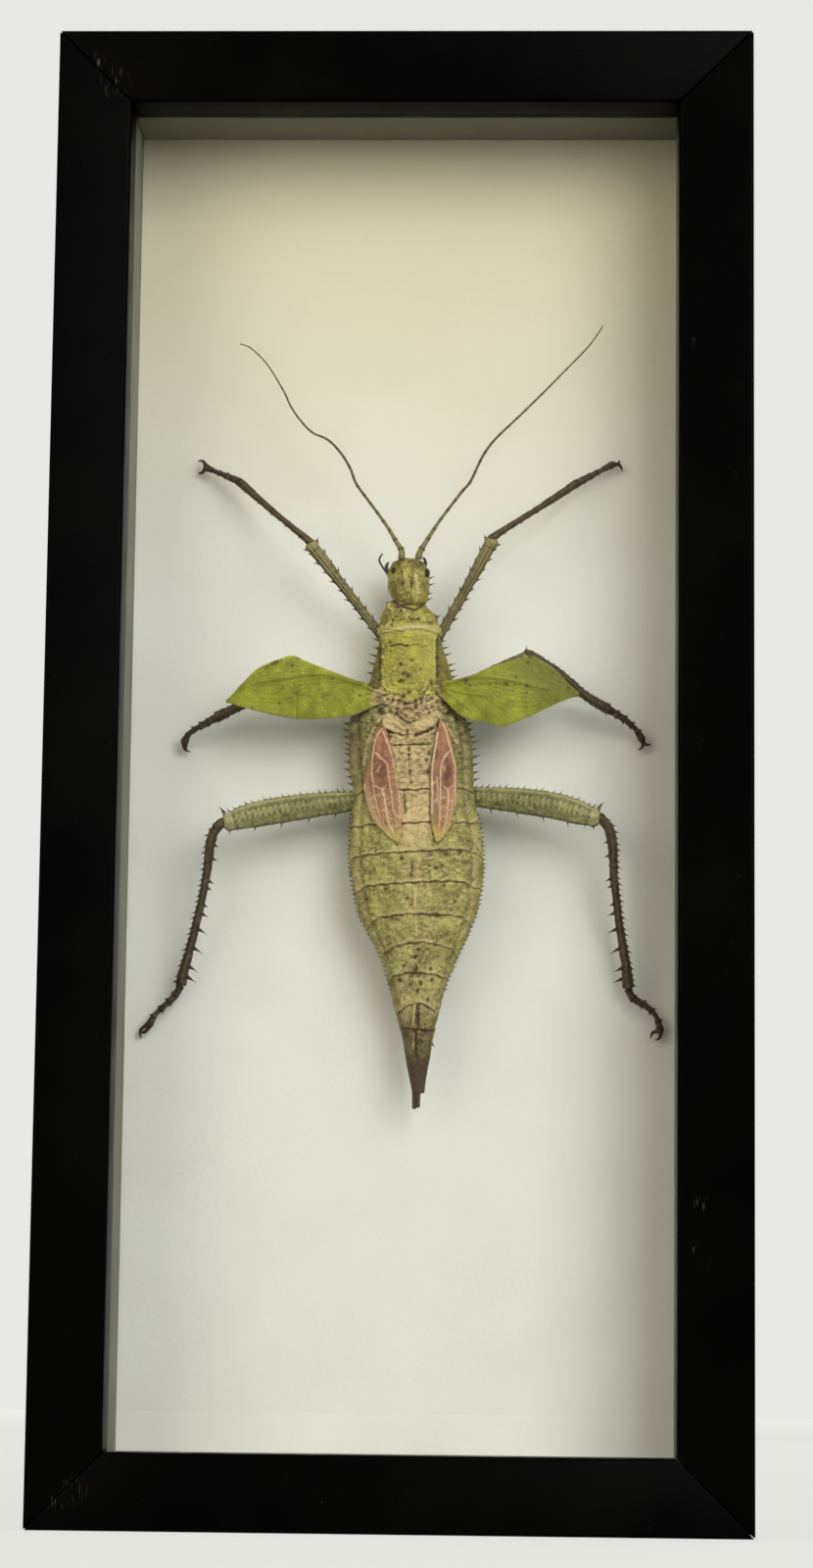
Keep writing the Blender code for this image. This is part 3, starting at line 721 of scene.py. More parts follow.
@dataclass(frozen=True)
class FloatGlass(Finish):
    """Clear float glass, 2 mm thick, which lets the room's light through to the specimen."""

    name: str = "clear_float_glass"
    main: str = "F8F9F6"

    def mix(self, coat: Coat) -> Material:
        """Make it clear, and let lamp light pass without a shadow."""
        glass = {"Base Color": coat.tone, "Roughness": 0, "IOR": 1.5, "Transmission Weight": 1}
        feed(coat.tree, coat.shader, glass)
        clear = add(coat.tree, "BsdfTransparent", {"Color": coat.tone}).outputs[0]
        ray = add(coat.tree, "LightPath").outputs["Is Shadow Ray"]
        mixer = add(coat.tree, "MixShader", {0: ray, 1: coat.shader.outputs[0], 2: clear})
        feed(coat.tree, coat.tree.nodes["Material Output"], {"Surface": mixer.outputs[0]})
        return coat.material


@dataclass(frozen=True)
class PlatedSteel(Finish):
    """Zinc-plated sheet steel: pale, a little cloudy, with a brushed sheen."""

    name: str = "zinc_plated_steel"
    main: str = "C9C6BC"
    cloud: str = "9E9A8C"

    def mix(self, coat: Coat) -> Material:
        """Lay the clouds of the plating."""
        coat.lay(self.cloud, coat.lumps(4, 4), 0.35, 0.7)
        sheen = {"Value": coat.lumps(0.8, 3), "To Min": 0.3, "To Max": 0.5}
        rough = add(coat.tree, "MapRange", sheen).outputs["Result"]
        return coat.done(coat.lumps(0.5, 2), 0.03, 0.4, {"Metallic": 1, "Roughness": rough})


@dataclass(frozen=True)
class HotGlue(Finish):
    """Set hot-melt glue: milky amber, smooth and glossy."""

    name: str = "set_hot_melt_glue"
    main: str = "E2DCC4"
    cloud: str = "C8BC98"

    def mix(self, coat: Coat) -> Material:
        """Lay milky clouds."""
        coat.lay(self.cloud, coat.lumps(2, 3), 0.3, 0.7)
        soft = {"Subsurface Weight": 0.4, "Subsurface Scale": 0.002}
        return coat.done(coat.lumps(1.5, 2), 0.1, 0.3, {"Roughness": 0.22, **soft})


HEAD_SHELL = DryShell("yellow_green_head_cuticle", "B4AA48", "7A762C", "5E3618", "CCC27C", "4A3518")
THORAX_SHELL = DryShell(
    "yellow_green_thorax_cuticle", "ACA834", "828024", "70401C", "C2BA64", "4A3E18", spot_from=0.63
)
BACK_SHELL = DryShell("olive_abdomen_cuticle", "AEAC5C", "827E3C", "46300F", "D8C08C", "3E290E", patch_mm=4.0)
FORE_SHELL = DryShell(
    "olive_brown_leg_cuticle", "746A3C", "443C20", "2E2416", "AEA26C", "2A2014", patch_mm=2.5
)
EYE = DryShell(
    "dark_brown_eye", "3A2818", "241810", "120C08", "6A5234", "120C08", patch_mm=1.0, rough=0.3
)
PALP = DryShell(
    "dark_grey_palp_cuticle", "3A3830", "2A2620", "1A1612", "6A6858", "1A1612", patch_mm=1.0
)
HIND_SHELL = DryShell(
    "pale_green_femur_cuticle", "8C8A50", "646430", "42381A", "B8B27E", "3C3818", patch_mm=2.5
)
SHIN_SHELL = DryShell(
    "dark_brown_shin_cuticle", "46371E", "2C200C", "1A1006", "786840", "160C05", patch_mm=2.0
)
FEELER_SHELL = DryShell("brown_feeler_cuticle", "6C603C", "4E4428", "2A2012", "8E8254", "2E2214", patch_mm=2.0)


class Side(Enum):
    """Left and right as the viewer sees them."""

    LEFT = "left"
    RIGHT = "right"

    @property
    def out(self) -> float:
        """-1 on the left, 1 on the right."""
        return -1 if self is Side.LEFT else 1


# The case


def finish_solid(node: str, material: Material) -> None:
    """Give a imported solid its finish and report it."""
    solid = bpy.data.objects[node]
    solid.data.materials.clear()
    solid.data.materials.append(material)
    LOG.info("%s: finished", node)


@dataclass
class Case:
    """The black frame, its pane, its boards and its back."""

    edge_round: float = 0.35
    pane_edge: float = 0.2
    flat_within: float = 1.0
    rivet_radius: float = 1.6
    rivet_spread: float = 0.44
    tabs: int = 3
    tab_size: tuple[float, float, float] = (11.0, 0.4, 5.0)
    tab_edge: float = 0.15

    def softened(self, node: str, name: str, width: float, **settings: object) -> Piece:
        """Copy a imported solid, make its flat sides whole again and round its edges.

        Args:
            node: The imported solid.
            name: The new piece's name.
            width: The width of its rounded edges in millimetres.
            settings: The other settings of the rounding.

        Returns:
            The new piece.
        """
        source = bpy.data.objects[node]
        piece = source.copy()
        piece.data = source.data.copy()
        piece.name = name
        bpy.context.scene.collection.objects.link(piece)
        weld(piece, 1e-6, self.flat_within)
        modify(piece, "BEVEL", width=width * MM, **settings)
        return piece

    def rails(self) -> None:
        """Four mitred rails with softly rounded edges."""
        for name in ("top", "bottom", "left", "right"):
            node = f"frame_rail_{name}"
            corners = {"segments": 3, "limit_method": "ANGLE", "angle_limit": math.radians(30)}
            piece = self.softened(node, f"moulding_{name}", self.edge_round, **corners)
            bpy.ops.object.shade_smooth_by_angle(angle=math.radians(35))
            dress(piece, PaintedMoulding().material(), "frame_black", node)

    def pane(self) -> None:
        """The glass, with ground edges."""
        piece = self.softened("glass_pane", "pane", self.pane_edge, segments=1)
        dress(piece, FloatGlass().material(), "pane", "glass_pane")

    def boards(self) -> None:
        """The white backing, the grey lining and the brown rear board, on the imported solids."""
        # The backing's upper part gets a dimmer, yellower tone: painted warm light.
        white = MattBoard("white_paper_faced_board", "EBEAE5", "E2E0D9", warm_light_tone="D8D1B8")
        lining = MattBoard("grey_lining_strip", "7E7C6C", "68665A")
        brown = MattBoard("brown_pressed_board", "7A5A3C", "5E422A", 0.8, 0.15, 0.75)
        finish_solid("backing_board", white.material())
        finish_solid("rear_board", brown.material())
        for side in ("left", "right", "top", "bottom"):
            finish_solid(f"liner_{side}", lining.material())

    def hanger(self) -> None:
        """The sawtooth hanger and its two rivets."""
        steel = PlatedSteel().material()
        finish_solid("wall_hanger", steel)
        low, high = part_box("wall_hanger")
        height = low.z * 0.4 + high.z * 0.6
        for side in Side:
            spot = (side.out * (high.x - low.x) * self.rivet_spread, high.y, height)
            deselect()
            bpy.ops.mesh.primitive_uv_sphere_add(
                segments=20, ring_count=10, radius=self.rivet_radius * MM, location=spot
            )
            rivet = settle(f"hanger_rivet_{side.value}", (1, 0.32, 1))
            bpy.ops.object.shade_smooth()
            dress(rivet, steel, "hanger_steel")

    def board_tabs(self) -> None:
        """The bent tabs that hold the rear board."""
        low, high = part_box("rear_board")
        reach, thick, tall = (size * MM for size in self.tab_size)
        for side in Side:
            for i in range(self.tabs):
                z = low.z + (i + 0.5) / self.tabs * (high.z - low.z)
                spot = (side.out * (high.x - reach * 0.45), high.y + thick, z)
                deselect()
                bpy.ops.mesh.primitive_cube_add(size=1, location=spot)
                tab = settle(f"board_tab_{side.value}_{i + 1}", (reach, thick, tall))
                modify(tab, "BEVEL", width=self.tab_edge * MM, segments=2)
                dress(tab, PlatedSteel().material(), "hanger_steel")

    def build(self) -> None:
        """Build every piece of the case."""
        self.rails()
        self.pane()
        self.boards()
        self.hanger()
        self.board_tabs()


# The insect


class Relief(Enum):
    """What a mark does to the shell: its rise in millimetres, its pale and dark tones and its spread."""

    RIDGE = (0.55, 0.65, 0.0, 1.05)
    PAD = (1.2, 0.7, 0.0, 1.1)
    KNOB = (0.6, 0.85, 0.0, 1.1)
    GROOVE = (-0.5, 0.0, 0.9, 1.0)
    SPOT = (-0.35, 0.0, 1.3, 1.3)
    STAIN = (0.0, 0.0, 0.55, 1.1)
    CREASE = (-0.25, 0.0, 0.5, 1.0)
    SCAR = (-0.3, 0.0, 0.85, 0.8)


@dataclass(frozen=True)
class Mark:
    """One ridge, groove or spot of the back, as a line of X and Z."""

    kind: Relief
    width: float
    line: tuple

    def share(self, x: Array, z: Array) -> Array:
        """How strongly the mark acts at each place, 1 on its line; the places come in warped."""
        power = 4 if self.kind is Relief.PAD else 2
        return np.exp(-((away(self.line, x, z) / (self.width * self.kind.value[3])) ** power))


def lines_of(*rows: Sequence[float]) -> tuple:
    """Turn rows that give X and Z in turn into lines of corners."""
    return tuple(tuple(zip(row[::2], row[1::2])) for row in rows)


def marks_of(*rows: tuple) -> tuple[Mark, ...]:
    """Turn rows of a kind, a width and a line's X and Z in turn into marks."""
    return tuple(Mark(kind, width, *lines_of(line)) for kind, width, *line in rows)


RIDGE, PAD, KNOB, GROOVE, SPOT, STAIN, CREASE, SCAR = Relief
META_MARKS = marks_of(
    (RIDGE, 0.32, -5.9, 215.6, -5.6, 216.6, -4.7, 216.9, -4, 216.2, -4.1, 215.1, -4.8, 214.6),
    (SPOT, 0.35, -5, 215.9, -4.7, 215.2), (GROOVE, 0.32, 10.6, 216.8, 10.3, 215.8, 10, 214.6),
    (RIDGE, 0.32, 9.5, 214.6, 9.7, 216.4, 10.6, 217.6, 11.3, 216.5),
    (STAIN, 1.1, -5, 220.4, -2, 219, 1.5, 219.4, 5, 219.3), (STAIN, 0.9, 9, 220.6, 11.5, 219.2),
    (STAIN, 0.7, 7.9, 208, 7.7, 205, 7.4, 201.6), (STAIN, 0.9, 0.5, 207, 2, 204, 1.2, 201),
    (STAIN, 0.8, 5.2, 205.5, 5.8, 202), (KNOB, 0.5, 0.2, 206), (KNOB, 0.5, 5, 207.7), (KNOB, 0.6, 0.7, 208),
    (KNOB, 0.5, 3.9, 200.2), (KNOB, 0.5, 0.7, 199.8), (KNOB, 0.5, 6.3, 199.7),
    (RIDGE, 0.45, -4.7, 222.7, -3.9, 221.3, -2.3, 220.3, -0.9, 220),
    (RIDGE, 0.45, 9.9, 222.5, 8.1, 221.4, 6.5, 220.6, 5.2, 220),
    (RIDGE, 0.5, -5.9, 216.2, -4.9, 217.3, -3.3, 217.7, -1.7, 216.2, -0.1, 214.9, 1.3, 213.8),
    (RIDGE, 0.4, 9.2, 217.6, 7.3, 217.4, 5.7, 216.8), (PAD, 1.5, -3.5, 215.2, -1.1, 214.4),
    (PAD, 1.7, 7.6, 215.8, 5.2, 214.4), (RIDGE, 0.4, -3.2, 212.7, -1.1, 212.2, 0.5, 211.1),
    (RIDGE, 0.4, 9.2, 213.2, 6.8, 212.3, 5.3, 211.4, 4.2, 210.4), (KNOB, 0.8, 2.9, 211.2),
    (GROOVE, 0.35, -0.9, 218.4, 0.7, 216.5, 2.6, 215.6, 3.9, 216.3),
    (GROOVE, 0.3, -3.8, 213.5, -1.4, 212.7, 1, 212.2), (GROOVE, 0.3, 4.2, 212.2, 6.6, 213.1, 8.9, 214.2),
    (GROOVE, 0.25, -1.6, 209.5, 3.2, 209.7, 8.5, 209.9), (GROOVE, 0.3, 2, 213.8, 2.1, 211.7),
    (GROOVE, 0.3, 2.6, 208.7, 3, 203.6, 3.3, 199.1), (SPOT, 0.3, -3.2, 212.7), (SPOT, 0.35, -1.8, 221.9),
    (SPOT, 0.35, 1.2, 221), (SPOT, 0.35, 4.1, 221.7), (SPOT, 0.4, 5.7, 222.2), (SPOT, 0.4, 2.5, 224.1),
    (SPOT, 0.35, 0.9, 223), (SPOT, 0.5, -5.7, 218.9), (SPOT, 0.45, -4.6, 218.4), (SPOT, 0.4, 8, 207.4),
    (SPOT, 0.4, 7.7, 202.3), (SPOT, 0.3, 7.2, 205.6), (SPOT, 0.3, -3.2, 209.5), (SPOT, 0.35, 1.7, 217.6),
    (KNOB, 0.5, 1.2, 218.4), (KNOB, 0.5, 3.3, 217.6), (KNOB, 0.6, 2.2, 221.9), (KNOB, 0.5, 0.1, 220),
    (KNOB, 0.6, 6.7, 222.7), (RIDGE, 0.35, -9.8, 204.4, -9.3, 208.4, -8, 212.4, -6.5, 215.7),
    (RIDGE, 0.35, 12.9, 215.2, 14.5, 212, 16.4, 208.6),
)
ABDOMEN_MARKS = marks_of(
    (RIDGE, 0.35, 4.1, 195.8, 4.5, 189.4), (GROOVE, 0.3, 1.5, 195.8, 1.8, 191),
    (RIDGE, 0.35, 2.8, 196.6, 4.4, 196.1, 6, 196.9), (GROOVE, 0.25, 3.8, 177.7, 3.6, 173.4),
    (RIDGE, 0.3, 4.7, 170.8, 4.7, 164.4), (RIDGE, 0.35, 5, 162.8, 5.1, 157.8), (KNOB, 0.4, -1.9, 171.3),
    (SPOT, 0.35, -3.2, 170.5), (SPOT, 0.4, -8.5, 168), (KNOB, 0.3, 3, 168.1), (SPOT, 0.3, 2.3, 167.9),
    (KNOB, 0.35, 6.3, 168.4), (SPOT, 0.4, 0.9, 178.5), (SPOT, 0.4, 16.7, 180.7), (SPOT, 0.4, 12.8, 179.9),
    (SPOT, 0.35, 11.7, 176.7), (SPOT, 0.35, 10.2, 176.1), (SPOT, 0.3, 12.3, 171.4),
    (SPOT, 0.45, 10.5, 163.4), (SPOT, 0.3, -1.6, 162.5), (RIDGE, 0.3, 7, 178.3, 8.3, 178.8, 9.9, 178.8),
    (RIDGE, 0.3, 6.2, 176.1, 7.5, 176.4, 8.8, 175.9), (RIDGE, 0.3, 12, 175.9, 13.1, 174.6),
    (RIDGE, 0.3, 13.7, 166.9, 14.7, 167.4), (RIDGE, 0.3, 0.5, 166.5, 1.8, 167.1), (SPOT, 0.35, 5.6, 154.1),
    (SPOT, 0.35, 4.9, 152.3), (SPOT, 0.35, 1.8, 149.9), (SPOT, 0.35, 8.9, 149.1), (SPOT, 0.5, 4.9, 148.8),
    (SPOT, 0.35, 0.7, 146.2), (SPOT, 0.35, 6.3, 145.1), (SPOT, 0.35, 3.6, 144.9), (SPOT, 0.35, 3.9, 147.2),
    (SPOT, 0.35, 5.5, 143.3), (SPOT, 0.35, 9.4, 146.2), (SPOT, 0.35, 8.2, 140.9),
    (RIDGE, 0.35, 4.8, 139.6, 4.5, 137, 4.4, 134.1), (GROOVE, 0.4, 5.5, 139.6, 5.6, 133.8),
    (GROOVE, 0.35, 5.1, 132.2, 5.1, 128.6, 5.2, 125.7), (RIDGE, 0.3, 4.5, 132, 4.5, 127.5),
    (SPOT, 0.5, 2.5, 131.4), (SPOT, 0.45, 6.4, 129.6), (SPOT, 0.4, 7.5, 132.6),
    (STAIN, 0.8, 0.1, 133.2, 3.5, 133.3, 6.1, 133), (STAIN, 0.8, 1.2, 148, 5.2, 148.8, 6.5, 148),
    (STAIN, 1.2, 3.6, 123.6, 5.7, 125.4, 6.7, 127),
)
PRONOTUM_MARKS = marks_of(
    (GROOVE, 0.45, -2.8, 250.6, -1.2, 249.3, 1.4, 248, 3.4, 247.3, 5, 248.4, 6.2, 250.2),
    (SCAR, 0.3, -2.6, 245, -2.2, 244), (SCAR, 0.24, -1.7, 245.2, -1.2, 245.3),
    (SCAR, 0.22, -0.9, 244.3, 0.2, 244.5), (SCAR, 0.22, 0.6, 245, 1.2, 244.6),
    (SCAR, 0.28, 1.9, 245.2, 2.7, 244.3, 3.3, 244.8), (SCAR, 0.3, 3.9, 244.2, 4.6, 245, 4.9, 244.2),
    (SCAR, 0.2, 2.4, 243.7), (SCAR, 0.2, -0.2, 245.6),
    (RIDGE, 0.65, -5.5, 240.3, -2.6, 241.2, 0.6, 241.9, 4.1, 242.2, 7.5, 242.1, 9.7, 241.4),
    (SPOT, 0.4, -1.1, 248.4), (SPOT, 0.3, -0.3, 247.1), (SPOT, 0.3, -2.6, 243), (KNOB, 0.5, 0.5, 247.3),
    (RIDGE, 0.4, -3.5, 250, -3.8, 248.4, -2.7, 247.6),
)
MESO_MARKS = marks_of(
    (RIDGE, 0.35, 9, 240.1, 9.1, 234.2, 9.3, 228.8), (GROOVE, 0.3, 9.7, 239.6, 9.8, 228.8),
    (GROOVE, 0.4, -5.6, 238.1, -5.5, 232.7, -5.4, 227.3), (KNOB, 0.5, -4.9, 234.1),
    (KNOB, 0.5, -4.9, 230.3), (KNOB, 0.5, -4.4, 227.1), (KNOB, 0.4, -4.9, 237.1),
    (RIDGE, 0.3, 2, 237.1, 4.2, 237.8, 6.6, 237.4), (GROOVE, 0.25, -2.8, 236.8, -0.4, 237.4, 1.8, 236.7),
    (KNOB, 0.4, 0.8, 232), (KNOB, 0.4, -1.6, 230.1), (SPOT, 0.35, 0.8, 229), (SPOT, 0.35, 2, 228.5),
    (SPOT, 0.4, 0, 227.1), (SPOT, 0.3, -3, 238.2), (SPOT, 0.3, 5.6, 230.4), (SPOT, 0.3, 2.9, 232.8),
    (SPOT, 0.4, 8.3, 226.9), (SPOT, 0.3, 0, 231.7), (RIDGE, 0.3, 1.6, 230.1, 2.7, 229.3),
    (KNOB, 0.3, 3.2, 231.2), (RIDGE, 0.35, -4.5, 227.1, -4, 225.7, -3.4, 224.6),
    (RIDGE, 0.4, 7.2, 226.9, 6.7, 225.2, 5.6, 223.9),
)
HEAD_MARKS = marks_of(
    (SCAR, 0.7, -2.3, 258.4), (SCAR, 0.5, -0.7, 260.3), (SCAR, 0.4, 0.4, 254.8), (SCAR, 0.35, 2.7, 254.6),
    (SCAR, 0.35, 1.8, 252.1), (STAIN, 0.9, -2.9, 260.8, -1.5, 261.4),
    (CREASE, 0.3, -0.1, 257.6, 0.2, 254.3), (CREASE, 0.3, 2.5, 256.2, 2.6, 253.5),
    (RIDGE, 0.6, 3.6, 256.8, 4.4, 254.3, 4.5, 252.1), (SCAR, 0.3, -1.2, 257.3),
    (STAIN, 0.8, -1.2, 252.4, 1, 252.4), (RIDGE, 0.4, 0.6, 258.1, 1.2, 256.2),
    (STAIN, 0.7, 0.9, 261.3, 3.6, 261.1), (STAIN, 0.8, 0.7, 249.9, 2.6, 248.9, 4, 248.6),
)
BORDERS = lines_of(
    (
        -13.4, 195.5, -11.3, 196.9, -9.7, 197.7, -3.3, 197.4, 0.6, 197.6, 3.6, 197.4, 8.6, 197.9,
        14.4, 198.4, 17.1, 198.4, 20.2, 197.6,
    ),
    (
        -13.5, 187.8, -10.9, 187.8, -8.2, 188.1, -3.2, 188.1, 1, 188.3, 4.7, 188.4, 8.2, 188.8, 15.3, 188.8,
        18.2, 188.9, 21.9, 189.3,
    ),
    (-13.7, 178.7, -11, 179.6, -4.4, 180.1, 4.8, 180.6, 11.4, 181.1, 16.7, 181.4, 20.7, 180.8, 22.8, 179.5),
    (
        -12.7, 169.1, -10.6, 170.5, -9.1, 171.3, -5.6, 171.6, 0.9, 172, 8.9, 172.5, 15.5, 172.8,
        18.9, 172.3, 20.7, 171.2, 22.8, 171.5,
    ),
    (
        -8.9, 159.6, -7.9, 160.7, -6.8, 162.1, -4.2, 162.9, -0.3, 163.4, 3.7, 163.8, 11.6, 163.7,
        16.9, 163.4, 18.7, 162.5, 20.3, 160.4,
    ),
    (
        -5.9, 149.8, -4.6, 151.7, -3.6, 153.6, -0.2, 155.3, 3.8, 156.1, 7.7, 156.2, 11.7, 155.5,
        14.8, 154.4, 16.7, 152.1,
    ),
    (-3.5, 145.1, -2.2, 146.2, -0.9, 147.2, 1.8, 147.9, 5.2, 148.2, 9.1, 147.8, 13.1, 147, 14.9, 146),
    (
        -1.2, 135.4, -0.5, 137, 1.3, 138.4, 3.4, 139.5, 5, 140, 7.1, 139.7, 9.2, 138.6, 11.1, 137.1,
        11.9, 135.5,
    ),
    (-0.2, 133.8, 1.1, 133.3, 3.5, 133.2, 5.1, 133.1, 7.2, 132.8, 10.1, 133, 11.1, 133.4),
)
LEFT_VEINS = lines_of(
    (
        -4.7, 213.9, -5.9, 212.8, -6.6, 210.4, -7, 207.7, -7.3, 205, -7.4, 202.1, -7, 198.9, -6.6, 196.2,
        -6, 193, -5, 190, -3.7, 187.4, -2.3, 185.5,
    ),
    (
        -4.5, 213.1, -3.6, 210.9, -2.6, 208.3, -1.8, 205.6, -1.2, 202.9, -0.7, 200.2, -0.2, 197.6,
        0.2, 193.6, 0.5, 189.6,
    ),
    (
        -6.8, 207.6, -5.2, 206.1, -4, 205, -3.1, 204, -2.9, 201.6, -2.4, 198.3, -1.9, 195.7, -1.6, 193,
        -1.2, 190.6, 0.3, 189.3,
    ),
    (-6.9, 198.6, -5.7, 197.9, -4.6, 197.4, -3.4, 198.5),
    (-4.6, 197.4, -4, 195.4, -3.6, 193, -3.2, 190.3, -2.6, 187.7, -1.5, 185.5), (-6.5, 195.6, -4.5, 196.2),
    (-3.9, 194.6, -1.8, 195.1), (-3.6, 192.7, -1.8, 194.1), (-3.3, 191.1, -1.4, 191.7),
    (-2.9, 189.3, -0.8, 189.5, 0.4, 189.8), (-5.7, 191.4, -3.5, 191.7), (-8.5, 194.6, -6.4, 195.4),
    (-0.9, 190.6, -0.6, 186.9), (-5.2, 203.7, -6.1, 202.1), (-7.7, 192.4, -5.9, 192.7),
    (-1.8, 186.9, 0, 187.4), (-9.5, 198.8, -9.1, 195.6, -8.2, 192.4, -6.9, 189.2, -5.3, 186.8),
)
RIGHT_VEINS = lines_of(
    (
        11.3, 216.1, 12.4, 213.7, 13.3, 210.5, 14.1, 207.5, 14.9, 204.9, 15.1, 201.7, 15.1, 198.5,
        15.3, 195, 15, 191, 14, 187.8,
    ),
    (14.3, 208.5, 12.8, 207.3, 11.7, 205.4, 11.3, 203, 11.2, 199.5, 11.2, 195.8, 11.1, 191, 10.9, 187),
    (15.1, 198.9, 13.9, 198.2, 13.1, 197.4, 12.2, 198.2),
    (13.1, 197.4, 13.3, 195, 13.2, 192.3, 12.9, 189.6, 12.2, 186.2),
    (10.3, 212.9, 9.6, 208.3, 9, 204.3, 8.9, 200.3, 9, 195.7, 9, 190.9),
    (10.2, 200.8, 10.5, 196.3, 10.7, 192), (11.3, 195, 13.3, 195.5), (13.3, 194.2, 15.3, 194.7),
    (11.2, 192.6, 13.2, 192.8), (13.2, 191.8, 15, 192.1), (9, 199, 10.2, 199.8), (9.2, 194.1, 10.5, 194.7),
    (11.1, 189.9, 12.9, 190.2),
)


PALPS = (
    (
        (
            (-3.2, 25.4, 257), (-4.6, 25.4, 258.9), (-6.1, 25.4, 261.2), (-6.5, 25.4, 262.5),
            (-5.6, 25.4, 264.2),
        ),
        (0.75, 0.6, 0.55, 0.6, 0.4),
    ),
    (
        ((-3.8, 24.6, 257.8), (-4.4, 24.3, 259.2), (-4.4, 24.2, 260.6), (-3.8, 24.2, 261.4)),
        (0.8, 1.1, 1, 0.5),
    ),
    (
        ((5, 24.6, 259.2), (6, 24.3, 260.2), (6.2, 24.2, 261.6), (5.6, 24.2, 262.9)),
        (0.6, 0.85, 0.9, 0.5),
    ),
)


@dataclass
class Trunk:
    """Head, thorax and abdomen: flattened shells in a row, each tucked under the next."""

    depth: float = 24.5
    side_power: float = 0.8
    back_power: float = 1.1
    crowding: float = 0.08
    head: tuple = (
        (262.7, 1.5, 2.2, 1.9), (261.4, 1.5, 4.2, 3.2), (258.6, 1.5, 5.4, 4.4), (255.4, 1.6, 5.7, 4.9),
        (252.4, 1.9, 5.1, 4.7), (250, 2.5, 4, 4.3), (247.8, 3.3, 2.2, 3.6),
    )
    prothorax: tuple = (
        (251.4, 0.8, 4, 2.3), (249, 1.3, 5.3, 3.5), (246.9, 1.7, 7.3, 5), (244.9, 1.8, 7.9, 5.6),
        (243, 2, 8.2, 6), (240.6, 2.1, 8.2, 6),
    )
    mesothorax: tuple = (
        (242.4, 2, 7.3, 5.6), (239.3, 2.3, 8.4, 6.3), (236.9, 2.4, 9, 6.6), (234.6, 2.5, 9.6, 6.8),
        (232.2, 2.7, 10.3, 7), (229.8, 2.8, 10.9, 7), (226.4, 2.8, 11.9, 7), (222.5, 2.6, 12.8, 7),
    )
    abdomen: tuple = (
        (227.5, 2.8, 11.4, 6.7), (226, 2.8, 12.1, 7), (221, 2.4, 14.2, 7.3), (217.3, 2, 16, 7.6),
        (210, 2.8, 16.7, 7.9), (203.4, 3.1, 16.8, 7.9), (197.3, 3.7, 16.2, 7.7), (191, 4, 17.2, 7.9),
        (184.5, 4.5, 18, 8), (177.5, 4.7, 18.1, 8), (170.2, 5, 17.2, 7.8), (164, 5.1, 15.7, 7.4),
        (158.5, 5.4, 13.2, 6.8), (153.2, 5.7, 10.5, 5.9), (146, 5.4, 7.9, 4.9), (138.5, 5.3, 6, 4),
        (132, 5.5, 4.4, 3.2), (124.5, 5.6, 3.1, 2.5), (119, 5.7, 2.1, 1.9), (115.9, 5.9, 1.65, 1.5),
    )
    head_spines: tuple = ((), (257.0, 255.1, 252.6, 251.0))
    collar_spines: tuple = ((249.9, 242.4), (246.2, 242.4))
    thorax_spines: tuple = (
        (239.5, 237.4, 235.3, 233, 230.4),
        (239.4, 237.5, 235.6, 232.8, 231.2, 229.6),
    )
    back_spines: tuple = (
        (216.4, 214.6, 212.6, 210.9, 209.4, 208, 205.9, 203.7, 201.8, 199.8),
        (216.6, 215, 213, 211.4, 209.6, 207.5, 205.4, 203.2, 201.2),
    )

    def section(self, rows: tuple, z: Array, turn: Array) -> tuple[Array, Array]:
        """A flattened section of the body.

        Args:
            rows: Height, middle, half width and half thickness along the piece.
            z: Heights.
            turn: Place round the section, 0 at the right edge and 0.25 at the back.

        Returns:
            The points, and how far each lies across, -1 to 1.
        """
        sizes = profile(rows, z)
        c, s = np.cos(turn * math.tau), np.sin(turn * math.tau)
        across = np.sign(c) * np.abs(c) ** self.side_power
        rise = np.sign(s) * np.abs(s) ** self.back_power
        points = np.stack([sizes[:, 0] + sizes[:, 1] * across, self.depth - sizes[:, 2] * rise, z], axis=-1)
        return points, across

    def back(self, x: Array, z: Array) -> Array:
        """Depth of the back under points of the wings."""
        sizes = profile(self.abdomen, z)
        across = np.clip(np.abs(x - sizes[:, 0]) / sizes[:, 1], 0, 0.97)
        return self.depth - sizes[:, 2] * np.sqrt(1 - across ** (2 / self.side_power)) ** self.back_power

    def shell(
        self, name: str, rows: tuple, faces: tuple[int, int], ends: tuple[float, float], rise: Rise,
        slide: Shape | None = None, packed: float = 1.0,
    ) -> Piece:
        """Model one shell with rounded, closed ends.

        Args:
            name: The piece's name.
            rows: Height, middle, half width and half thickness along the piece.
            faces: How many faces it has along and round it.
            ends: How far from its top and its bottom the ends are rounded, in millimetres.
            rise: Gives how far each point is raised, from the points, the places
                across and the side that faces the viewer.
            slide: Gives how far each point is moved along the body.
            packed: Below 1, its faces lie closer at its top than at its bottom.

        Returns:
            The new piece.
        """
        top, bottom = rows[0][0], rows[-1][0]

        def shape(along: Array, across: Array) -> Array:
            """Place the shell's points for places along and round it."""
            z = top + (bottom - top) * (packed * along + (1 - packed) * along**2)
            across = across + self.crowding * np.cos(across * math.tau)
            points, side = self.section(rows, z, across)
            near = np.clip((top - z) / ends[0], 0, 1)
            far = np.clip((z - bottom) / ends[1], 0, 1)
            closing = np.sqrt(1 - (1 - near) ** 2) * np.sqrt(1 - (1 - far) ** 2)
            middle = profile(rows, z)[:, 0]
            facing = np.sin(across * math.tau)
            if slide:
                points[:, 2] += slide(points, facing) * np.minimum(closing * 2, 1)
            lift = rise(points, side, ease(0, 0.3, facing))
            out = np.stack([np.cos(across * math.tau), -facing, np.zeros_like(z)], axis=-1)
            points = points + out * lift[:, None]
            points[:, 0] = middle + (points[:, 0] - middle) * closing
            points[:, 1] = self.depth + (points[:, 1] - self.depth) * closing
            return points

        return sheet_of(name, *faces, shape, closed=True)

